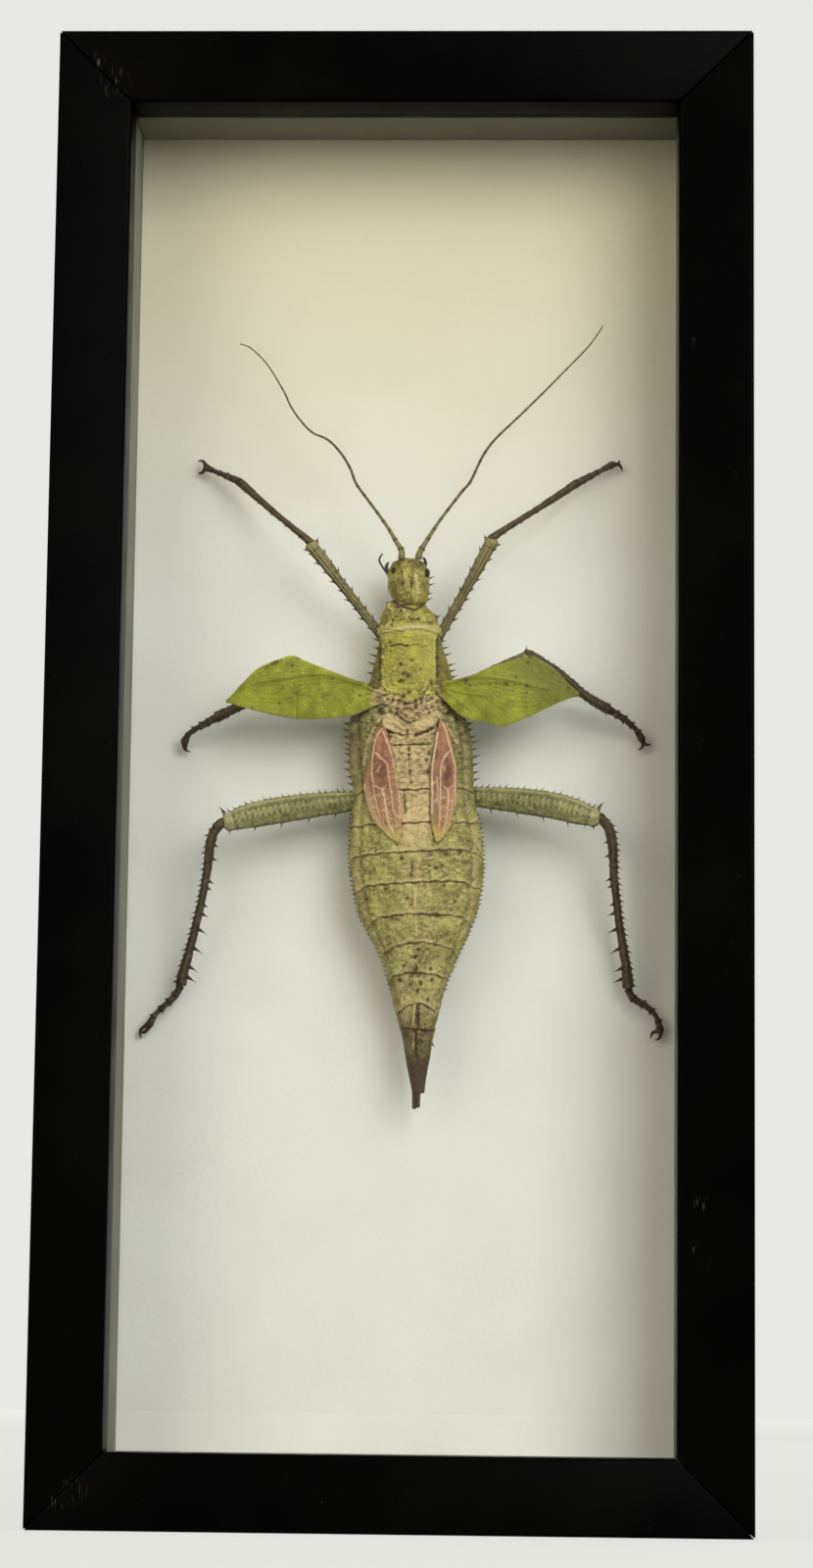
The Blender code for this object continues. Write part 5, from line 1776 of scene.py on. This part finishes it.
LEGS = (
    Leg(
        Pair.FORE, Side.LEFT, ((-5.4, 27.3, 241), (-16.4, 23.4, 254.7), (-25.6, 19.2, 266)),
        (2.4, 2.2, 2.3, 2.9, 3.3), ((-25.4, 19.2, 266), (-36, 24.4, 275.6), (-45.7, 29.8, 285)),
        (2, 1.6, 1.5, 1.8, 2.2),
        ((-45.4, 29.8, 284.9), (-49, 31.3, 286.9), (-52.3, 32.4, 288.4), (-55.6, 33.2, 290)),
        ((-57.9, 34.7, 291.9), (-57.8, 34.8, 288.6)),
    ),
    Leg(
        Pair.FORE, Side.RIGHT, ((9.5, 27.3, 240.4), (18.3, 23.4, 255.3), (25, 19.2, 267.4)),
        (2.4, 2.3, 2.4, 3, 3.4), ((25, 19.1, 267.6), (36.8, 24.4, 276.5), (47.6, 29.9, 285)),
        (2, 1.6, 1.5, 1.8, 2.2),
        ((47.3, 29.9, 284.9), (51, 31.4, 287.2), (54.3, 32.5, 289.3), (57.3, 33.2, 291)),
        ((59.3, 34.7, 292.8), (60.2, 34.8, 289.4)),
    ),
    Leg(
        Pair.MIDDLE, Side.LEFT, ((-9.5, 26.5, 223), (-19, 24.5, 226), (-27.5, 22.3, 228.4)), (2.8, 3, 3.4),
        ((-27.6, 22.2, 228.3), (-37, 24.9, 224.7), (-45.2, 27, 221.2), (-51.2, 28.6, 218.5)),
        (2.4, 2.1, 2.2, 2.8),
        (
            (-51, 28.6, 218.6), (-53.6, 29.4, 217.3), (-56, 30.2, 216.2), (-58.4, 31.3, 214.7),
            (-59.8, 32.6, 212.6),
        ),
         ((-58.2, 34.9, 210.1), (-60.2, 35, 210.6)),
    ),
    Leg(
        Pair.MIDDLE, Side.RIGHT, ((14.6, 26.5, 226.4), (25.2, 24.5, 231.2), (35.2, 22.3, 235.1)),
        (2.8, 3, 3.4), ((35.2, 22.2, 235.2), (43, 24, 230.8), (50.3, 26.2, 224.9), (56.8, 28.5, 221.4)),
        (2.6, 2.2, 2.2, 2.8),
        ((56.6, 28.5, 221.5), (59.4, 29.6, 220.1), (62, 30.7, 218.4), (64.5, 32, 216.2), (65.8, 33.2, 214)),
        ((68.4, 34.9, 213.2), (64.7, 35, 211.4)),
    ),
    Leg(
        Pair.HIND, Side.LEFT,
        (
            (-11.5, 27, 195.7), (-22, 25.2, 194.3), (-29, 23.7, 193), (-36, 22.1, 191.6), (-41, 21, 190.4),
            (-45.3, 19.9, 188.9), (-48, 19.3, 188.3),
        ),
         (4.9, 5.9, 6.5, 6.9, 6.9, 6.2, 4.2),
        (
            (-48.2, 19.2, 188.2), (-50.4, 20.4, 185.2), (-51.4, 21.8, 181), (-52.4, 24, 173.6),
            (-55, 26.6, 161.6), (-57.5, 28.8, 152.3), (-59.4, 30.8, 145.2),
        ),
         (2.4, 2.5, 2, 1.9, 2, 2.3, 3),
        (
            (-59.3, 30.8, 145.3), (-61, 31.5, 142.4), (-63.6, 32.1, 139.9), (-66.3, 32.7, 137.4),
            (-68, 33.4, 134.6),
        ),
         ((-70.2, 35, 130.9), (-70.9, 34.8, 132.9)),
    ),
    Leg(
        Pair.HIND, Side.RIGHT,
        (
            (18.6, 27, 197.1), (28.2, 25.3, 196.1), (35.4, 23.7, 195.1), (42, 22.2, 193.9),
            (47.5, 20.9, 192.3), (51.7, 19.9, 190.8), (54.6, 19.3, 190.2),
        ),
         (4.9, 5.9, 6.5, 6.9, 6.9, 6.3, 4.4),
        (
            (54.7, 19.2, 190.2), (56.9, 20.3, 187), (57.8, 21.8, 181.8), (58.2, 23.8, 174.4),
            (59.8, 26.6, 161.6), (61.5, 28.9, 151.6), (62.2, 30.7, 145.3),
        ),
         (2.4, 2.5, 2, 1.9, 2, 2.3, 3),
        (
            (62.1, 30.7, 145.4), (63.5, 31.4, 142.9), (66.7, 32.1, 141), (69.2, 32.7, 138.9),
            (70.6, 33.2, 136.4), (70.9, 33.7, 134),
        ),
         ((68.4, 35, 132.1), (69.6, 34.9, 131.8)),
    ),
)


@dataclass
class ForeWing:
    """A leaf-like fore wing: X, then Z of its upper edge, midrib and lower edge."""

    side: Side
    rows: tuple
    crease: float
    specks: tuple
    folds: tuple
    # How much painted shade darkens the wing's outer part, 0 for none.
    outer_painted_shade: float = 0.0
    depth: float = 18.0
    thick: float = 0.5

    def share(self, x: Array) -> Array:
        """How far out along the wing a place lies, 0 at its root."""
        root, tip = self.rows[0][0], self.rows[-1][0]
        return np.clip((x - root) / (tip - root), 0, 1)

    def surface(self, along: Array, across: Array) -> Array:
        """Place the wing's front face: a low roof along the midrib, with ribs, folds and a crease."""
        root, tip = self.rows[0][0], self.rows[-1][0]
        x = root + (tip - root) * (1 - (1 - along) ** 1.15)
        upper, rib, lower = profile(self.rows, x).T
        inner, outer = across / RIB, (across - RIB) / (1 - RIB)
        z = np.where(across < RIB, upper + (rib - upper) * inner, rib + (lower - rib) * outer)
        out = self.share(x)
        rest = self.depth + 1.6 * out - 1.2 * np.sin(math.pi * out)
        crown = 0.9 * np.sin(math.pi * np.minimum(1, 0.15 + out))
        fall = np.where(across < RIB, 1 - inner, outer)
        depth = rest - crown * (1 - fall**1.4)
        depth -= 0.24 * bump(across, RIB, 0.03) * ease(0.95, 0.7, out)
        depth -= 0.06 * self.net(across, out, 0.014)
        depth += 0.3 * bump(x, self.crease, 0.3) * ease(0.3, 0.5, across)
        points = np.stack([x, depth, z], axis=-1)
        for fold in self.folds:
            points[:, 1] -= 0.12 * np.exp(-((away(fold, *warped(points)) / 0.25) ** 2))
        rough = ease(0.14, 0, out)
        points[:, 1] += 0.25 * grain(points, 5, 11, 2) + 0.08 * grain(points, 0.9, 12, 2)
        points[:, 1] -= 0.45 * rough * grain(points, 1.5, 12.5, 3)
        return points

    def net(self, across: Array, out: Array, width: float) -> Array:
        """1 on a side rib, which leaves the midrib near the root and runs outwards."""
        total = np.zeros_like(across)
        for target in (0.04, 0.13, 0.22, 0.3, 0.43, 0.51, 0.6, 0.69, 0.78, 0.88):
            line = RIB + (target - RIB) * ease(0, 0.75, out) ** 0.8
            total = np.maximum(total, bump(across - line, 0, width))
        return total

    def build(self) -> None:
        """Build the wing, paint its ribs and flecks, and give it a thickness."""
        piece = sheet_of(f"leaf_wing_{self.side.value}", 230, 96, self.surface, closed=False)
        points = spots_of(piece)
        x, _, z = points.T
        across, out = value_of(piece, "across"), self.share(x)
        mottled = grain(points, 2, 13, 3)
        vein = 0.8 * bump(across, RIB, 0.02) * ease(1, 0.6, out)
        vein = np.maximum(vein, 0.5 * bump(across, 0.43, 0.016) * ease(0.7, 0.3, out))
        vein = np.maximum(vein, 0.3 * self.net(across, out, 0.009))
        vein = np.maximum(vein, 0.55 * bump(x, self.crease, 0.3) * ease(0.35, 0.55, across))
        # Painted shade over the wing's outer part, laid in the vein colour.
        vein = np.maximum(vein, self.outer_painted_shade * ease(0.25, 0.75, out - 0.3 * across + 0.1 * mottled))
        # The lower edge is darkened: painted shade.
        vein = np.maximum(vein, 0.45 * ease(0.93, 0.99, across))
        for fold in self.folds:
            vein = np.maximum(vein, 0.45 * np.exp(-((away(fold, *warped(points)) / 0.22) ** 2)))
        lower, upper = bump(across, 1, 0.012), bump(across, 0, 0.022)
        dark = 0.85 * ease(0.32, 0.06, out) * ease(0.42, 0.1, across) * ease(-0.3, 0.12, mottled)
        dark += 0.5 * ease(0.12, 0.02, out) * ease(-0.05, 0.2, mottled)
        # Painted shade, uneven, along the lower edge.
        dark += 0.5 * lower * np.clip(mottled + 0.2, 0, 1)
        for spot_x, spot_z, size in self.specks:
            dark += 0.95 * np.exp(-(((x - spot_x) ** 2 + (z - spot_z) ** 2) / size**2))
        paint(piece, "vein", vein)
        # A pale line along the upper edge: painted highlight.
        paint(piece, "pale", 0.8 * upper + 0.3 * bump(across, 0.2, 0.1) * np.clip(mottled, 0, 1), 0.85)
        paint(piece, "dark", dark, 0.85)
        paint(piece, "root", 0.9 * ease(0.085, 0.03, out + 0.06 * mottled))
        modify(piece, "SOLIDIFY", thickness=self.thick * MM, offset=0)
        activate(piece)
        bpy.ops.object.shade_smooth_by_angle(angle=math.radians(50))
        dress(piece, LeafWing().material(), "leaf_wing", f"tegmen_{self.side.value}")


@dataclass
class HindWing:
    """A small hind wing laid on the back: Z, then X of its left edge, main vein and right edge."""

    side: Side
    rows: tuple
    veins: tuple
    trunk: Trunk
    lift: float = 0.8
    thick: float = 0.25

    def surface(self, along: Array, across: Array) -> Array:
        """Place the membrane over the back, with lengthwise folds and raised veins."""
        top, bottom = self.rows[0][0], self.rows[-1][0]
        z = top + (bottom - top) * along
        left, vein, right = profile(self.rows, z).T
        half = across * 2
        x = np.where(across < 0.5, left + (vein - left) * half, vein + (right - vein) * (half - 1))
        folds = 0.2 * np.sin(across * math.tau * 2.5 + 0.6) * ease(0, 0.2, along) * ease(1, 0.85, along)
        depth = self.trunk.back(x, z) - self.lift - folds
        points = np.stack([x, depth, z], axis=-1)
        points[:, 1] -= 0.15 * self.net(*warped(points, 0.22), 0.2) - 0.18 * grain(points, 1, 21, 3)
        return points

    def net(self, x: Array, z: Array, width: float) -> Array:
        """1 on a vein, fading off it over a width; side veins are finer and fainter."""
        total = np.zeros_like(x)
        for line in self.veins:
            main = len(line) > 4
            share = np.exp(-((away(line, x, z) / (width if main else width * 0.75)) ** 2))
            total = np.maximum(total, share if main else 0.75 * share)
        return total

    def build(self) -> None:
        """Build the wing and paint its veins, its dark cell, its folds, its yellow tip and a painted glint."""
        piece = sheet_of(f"pink_wing_{self.side.value}", 210, 84, self.surface, closed=False)
        along, across = value_of(piece, "along"), value_of(piece, "across")
        points = spots_of(piece)
        x, _, z = points.T
        mottled = grain(points, 1.4, 22, 3)
        fade = 1 - 0.35 * ease(0.45, 1, along)
        paint(piece, "vein", self.net(*warped(points, 0.22), 0.21) * fade, 0.85)
        outer = across if self.side is Side.RIGHT else 1 - across
        if self.side is Side.LEFT:
            cell = bump(x, -4.9, 1.7) * bump(z, 202.5, 3.8)
            fold = ease(0.3, 0.12, across)
        else:
            cell = bump(x, 13, 1.5) * bump(z, 202.5, 4)
            fold = ease(0.6, 0.2, across) * 0.5
        paint(piece, "dark", 0.85 * cell + 0.4 * fold + 0.4 * np.clip(mottled, 0, 1), 0.85)
        # A small pale spot on the right wing: painted glint.
        painted_glint = bump(x, 12.1, 0.35) * bump(z, 203.4, 1) if self.side is Side.RIGHT else np.zeros_like(x)
        paint(piece, "pale", painted_glint + 0.45 * ease(0.7, 0.95, outer) * ease(0.3, 0.6, along), 0.9)
        yellow = ease(0.84, 0.97, along + 0.06 * mottled) + 0.15 * fold * (self.side is Side.LEFT)
        paint(piece, "tip", yellow + 0.2 * ease(0.5, 0.8, along), 0.9)
        modify(piece, "SOLIDIFY", thickness=self.thick * MM, offset=0)
        dress(piece, PinkMembrane().material(), "pink_wing", f"hindwing_{self.side.value}")


TEGMEN_LEFT = (
    (-4.6, 225.2, 223.6, 221.4), (-8, 226.2, 224.9, 219.9), (-12, 227.2, 226.3, 218),
    (-16, 228.6, 227.5, 217.1), (-21, 230.6, 228.5, 216.8), (-26, 232.7, 228.5, 216.6),
    (-29.5, 234.1, 227.8, 216.9), (-34, 232.8, 227.2, 217.7), (-39, 230.6, 226.6, 219),
    (-43, 226.6, 224.8, 220.1), (-46, 223.2, 222.6, 221.1), (-47.4, 221.9, 221.7, 221.4),
)
TEGMEN_RIGHT = (
    (9, 225.8, 225.4, 224.9), (12, 227, 226.2, 222), (16, 227.8, 227.3, 218.2), (19.6, 228.9, 228.1, 216.5),
    (23.4, 230.6, 228.1, 216.1), (27.2, 232, 227.7, 214.9), (31, 233.1, 227.1, 216),
    (35, 234.4, 226.3, 217.7), (38.5, 233.1, 225.5, 219.6), (42, 230.7, 224.8, 221.3),
    (45, 227.7, 224.6, 222.7), (47.6, 225.3, 224.2, 223.6), (48.3, 224.3, 224, 223.8),
)
LEFT_SPECKS = (
    (-36.3, 231, 0.45), (-29.4, 231.3, 0.4), (-11, 223.2, 0.4), (-32.7, 221, 0.4), (-33.7, 232.4, 0.8),
    (-34.7, 232.1, 0.7), (-27.8, 233.6, 0.6), (-28.2, 223.5, 0.35), (-31.9, 225.4, 0.35),
    (-18.4, 227.6, 0.35),
)
LEFT_FOLDS = lines_of(
    (-34.3, 223.7, -32.2, 224.8, -29.8, 226.7), (-28.5, 227.3, -27.9, 223.8),
    (-10.1, 226, -14.4, 226.8, -19.7, 226.8, -24.2, 226.2),
)
RIGHT_SPECKS = (
    (17.8, 227.3, 0.75), (28.7, 226.5, 0.55), (34.3, 226.1, 0.55), (45.4, 225.8, 0.5), (34.2, 224.1, 0.4),
    (32.6, 234.1, 0.5), (35, 234.1, 0.5), (34.5, 232.5, 0.4), (31.4, 228.4, 0.3), (18.9, 225.9, 0.4),
    (25.8, 227, 0.3),
)
RIGHT_FOLDS = lines_of(
    (16.2, 226.4, 21.5, 226.6, 26.9, 226.9, 31.6, 226.3), (10.9, 225.3, 15.2, 222.4, 19, 219.2),
    (12.3, 225.3, 17.6, 223.8, 23.7, 223),
)
HINDWING_LEFT = (
    (215, -5.3, -4.9, -4.5), (212.6, -6.6, -5.7, -3.3), (208, -7.5, -6.2, -2.1), (202.5, -8.9, -6.4, -1.1),
    (199, -9.6, -6, -0.5), (194, -8.6, -4.8, 0.5), (189, -6.7, -3.2, 0.8), (185.7, -3.8, -1.8, 0.7),
    (183, -0.8, -0.4, 0),
)
HINDWING_RIGHT = (
    (216, 10.9, 11.4, 11.9), (213, 9.9, 11.6, 13.3), (207, 9.1, 12.4, 14.7), (202.5, 8.6, 12.6, 15.4),
    (197, 8.5, 12.4, 15.4), (193.8, 8.6, 12, 15.2), (189.5, 8.7, 11.6, 14.3), (186.6, 9.2, 11.1, 13.5),
    (183.1, 10.2, 10.4, 10.7),
)
ANTENNA_LEFT = (
    (-0.4, 21.6, 261.6), (-0.3, 21.3, 264), (-1.7, 21.2, 266.5), (-5.1, 21.2, 272), (-10.4, 21.4, 279.2),
    (-13, 21.6, 282.9), (-14.7, 21.8, 287.2), (-17.4, 22, 291.6), (-21, 22.3, 295.3), (-25.3, 22.6, 297.4),
    (-28.9, 22.9, 301.2), (-31.5, 23.2, 305.1), (-33.4, 23.5, 309.2), (-38.2, 23.9, 317),
    (-42.8, 24.2, 321.6), (-45.9, 24.4, 322.9),
)
ANTENNA_RIGHT = (
    (4.4, 21.6, 261.6), (4.7, 21.3, 263.4), (6.1, 21.2, 266), (10, 21.2, 272.3), (15.8, 21.5, 280.3),
    (18.3, 21.7, 283.4), (20.3, 21.9, 287.8), (22.3, 22.1, 291.8), (25.4, 22.4, 296), (32.6, 22.9, 303.2),
    (40.2, 23.4, 311.1), (49.1, 23.9, 320.6), (51.7, 24.2, 323.8), (54.6, 24.4, 328.3),
)


@dataclass
class Insect:
    """The whole specimen and what holds it to the backing."""

    trunk: Trunk = field(default_factory=Trunk)
    antenna_widths: tuple = (
        2, 1.35, 1, 0.88, 0.82, 0.78, 0.74, 0.7, 0.66, 0.62, 0.58, 0.54, 0.5, 0.46, 0.42, 0.4, 0.36, 0.32,
    )

    def build_antennae(self) -> None:
        """Two knotted feelers."""
        for side, path in ((Side.LEFT, ANTENNA_LEFT), (Side.RIGHT, ANTENNA_RIGHT)):
            detail = {"steps": 520, "sides": 12, "knots": 26, "ends": (0.4, 0.3)}
            piece = Limb(f"feeler_{side.value}", path, self.antenna_widths, **detail).model()
            root = 1 - ease(0.04, 0.3, value_of(piece, "along"))
            paint(piece, "pale", value_of(piece, "pale") + 0.75 * root, 0.85)
            dress(piece, FEELER_SHELL.material(), "brown_leg", f"antenna_{side.value}")

    def build_glue(self) -> None:
        """Two soft dabs of glue between the body and the backing."""
        finish = HotGlue().material()
        for node in ("glue_dab_thorax", "glue_dab_abdomen"):
            low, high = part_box(node)
            deselect()
            middle = (low + high) / 2
            bpy.ops.mesh.primitive_uv_sphere_add(segments=40, ring_count=20, radius=0.5, location=middle)
            dab = settle(node.replace("glue_dab", "glue_bead"), high - low)
            bpy.ops.object.shade_smooth()
            dress(dab, finish, "glue", node)

    def build(self) -> None:
        """Build every piece of the specimen."""
        self.trunk.build()
        self.build_antennae()
        for leg in LEGS:
            leg.build()
        ForeWing(Side.LEFT, TEGMEN_LEFT, -28, LEFT_SPECKS, LEFT_FOLDS).build()
        ForeWing(Side.RIGHT, TEGMEN_RIGHT, 60, RIGHT_SPECKS, RIGHT_FOLDS, outer_painted_shade=0.85).build()
        HindWing(Side.LEFT, HINDWING_LEFT, LEFT_VEINS, self.trunk).build()
        HindWing(Side.RIGHT, HINDWING_RIGHT, RIGHT_VEINS, self.trunk).build()
        self.build_glue()


# The studio


@dataclass
class Studio:
    """Pale floor, soft light and the camera at the photograph's viewing angle."""

    camera_place: tuple[float, float, float] = (0.0419, -1.0916, 0.0365)
    camera_turn: tuple[float, float, float] = (98.503, -0.666, 2.005)
    focal_pixels: float = 4154.0
    image_height: float = 1600.0
    sensor: float = 24.0

    def camera(self) -> None:
        """Low in front of the frame, a little to the right, looking up."""
        data = bpy.data.cameras.new("camera")
        data.sensor_fit = "VERTICAL"
        data.sensor_height = self.sensor
        data.lens = self.focal_pixels / self.image_height * self.sensor
        data.clip_start = 0.05
        camera = bpy.data.objects.new("camera", data)
        camera.location = self.camera_place
        camera.rotation_euler = [math.radians(a) for a in self.camera_turn]
        bpy.context.scene.collection.objects.link(camera)
        bpy.context.scene.camera = camera

    def floor(self) -> None:
        """A plain pale floor that the case stands on."""
        deselect()
        bpy.ops.mesh.primitive_plane_add(size=12, location=(0, 0, 0))
        floor = bpy.context.object
        floor.name = "studio_floor"
        floor.data.materials.append(self.paper())

    def paper(self) -> Material:
        """Pale matt paper for the floor, which throws little light back up into the case."""
        coat = Coat("pale_studio_paper", "8A8A86")
        tree = coat.tree
        feed(tree, coat.shader, {"Base Color": coat.tone, "Roughness": 0.95, "Specular IOR Level": 0.1})
        far = add(tree, "VectorMath", {0: coat.places}, operation="LENGTH").outputs["Value"]
        distance = {"Value": far, "From Min": 1.5, "From Max": 5, "To Min": 0.95, "To Max": 1.1}
        glow = add(tree, "MapRange", distance)
        seen = add(tree, "Emission", {"Color": colour("EDEDE9"), "Strength": glow.outputs[0]})
        sunlit = add(tree, "BsdfDiffuse", {"Color": colour("F0F0EC")})
        pale = add(tree, "MixShader", {0: 0.15, 1: seen.outputs[0], 2: sunlit.outputs[0]})
        ray = add(tree, "LightPath").outputs["Is Camera Ray"]
        mixer = add(tree, "MixShader", {0: ray, 1: coat.shader.outputs[0], 2: pale.outputs[0]})
        feed(tree, tree.nodes["Material Output"], {"Surface": mixer.outputs[0]})
        return coat.material

    def lamp(self, name: str, spot: tuple, aim: tuple, size: float, power: float, tint: str) -> None:
        """One square soft light.

        Args:
            name: Its name.
            spot: Where it stands, in metres.
            aim: The point it looks at.
            size: The length of its side.
            power: Its power in watts.
            tint: Its colour.
        """
        data = bpy.data.lights.new(name, "AREA")
        data.size = size
        data.energy = power
        data.color = colour(tint)[:3]
        lamp = bpy.data.objects.new(name, data)
        lamp.location = spot
        lamp.rotation_euler = (Vector(aim) - Vector(spot)).to_track_quat("-Z", "Y").to_euler()
        bpy.context.scene.collection.objects.link(lamp)

    def lights(self) -> None:
        """A window from the upper right, a warm one from the left and a pale room."""
        middle = (0, 0, 0.2)
        self.lamp("window", (0.9, -1.6, 0.98), middle, 1.2, 23.5, "FCFCFF")
        self.lamp("fill", (-1.15, -1.5, 0.75), middle, 1.1, 11.5, "FFF8EE")
        self.lamp("rear", (0.6, 1.8, 1.2), middle, 1.2, 10, "FFFFFF")
        world = bpy.context.scene.world or bpy.data.worlds.new("room")
        bpy.context.scene.world = world
        world.use_nodes = True
        tree = world.node_tree
        tree.nodes.clear()
        seen = add(tree, "Background", {"Color": colour("EDEDE9"), "Strength": 0.95})
        cast = add(tree, "Background", {"Color": colour("F4F2EA"), "Strength": 0.4})
        dim = add(tree, "Background", {"Color": colour("F4F2EA"), "Strength": 0.05})
        path = add(tree, "LightPath")
        glossy, direct = path.outputs["Is Glossy Ray"], path.outputs["Is Camera Ray"]
        room = add(tree, "MixShader", {0: glossy, 1: cast.outputs[0], 2: dim.outputs[0]})
        mixer = add(tree, "MixShader", {0: direct, 1: room.outputs[0], 2: seen.outputs[0]})
        add(tree, "OutputWorld", {"Surface": mixer.outputs[0]})

    def build(self) -> None:
        """Set up the studio."""
        self.camera()
        self.floor()
        self.lights()


def write_sizes() -> None:
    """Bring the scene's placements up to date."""
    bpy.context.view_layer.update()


def main() -> None:
    """Build the case, the specimen and the studio in order."""
    logging.basicConfig(level=logging.INFO, format="%(message)s")
    bpy.context.scene.view_settings.view_transform = "Standard"
    Case().build()
    Insect().build()
    Studio().build()
    write_sizes()


if __name__ == "__main__":
    main()
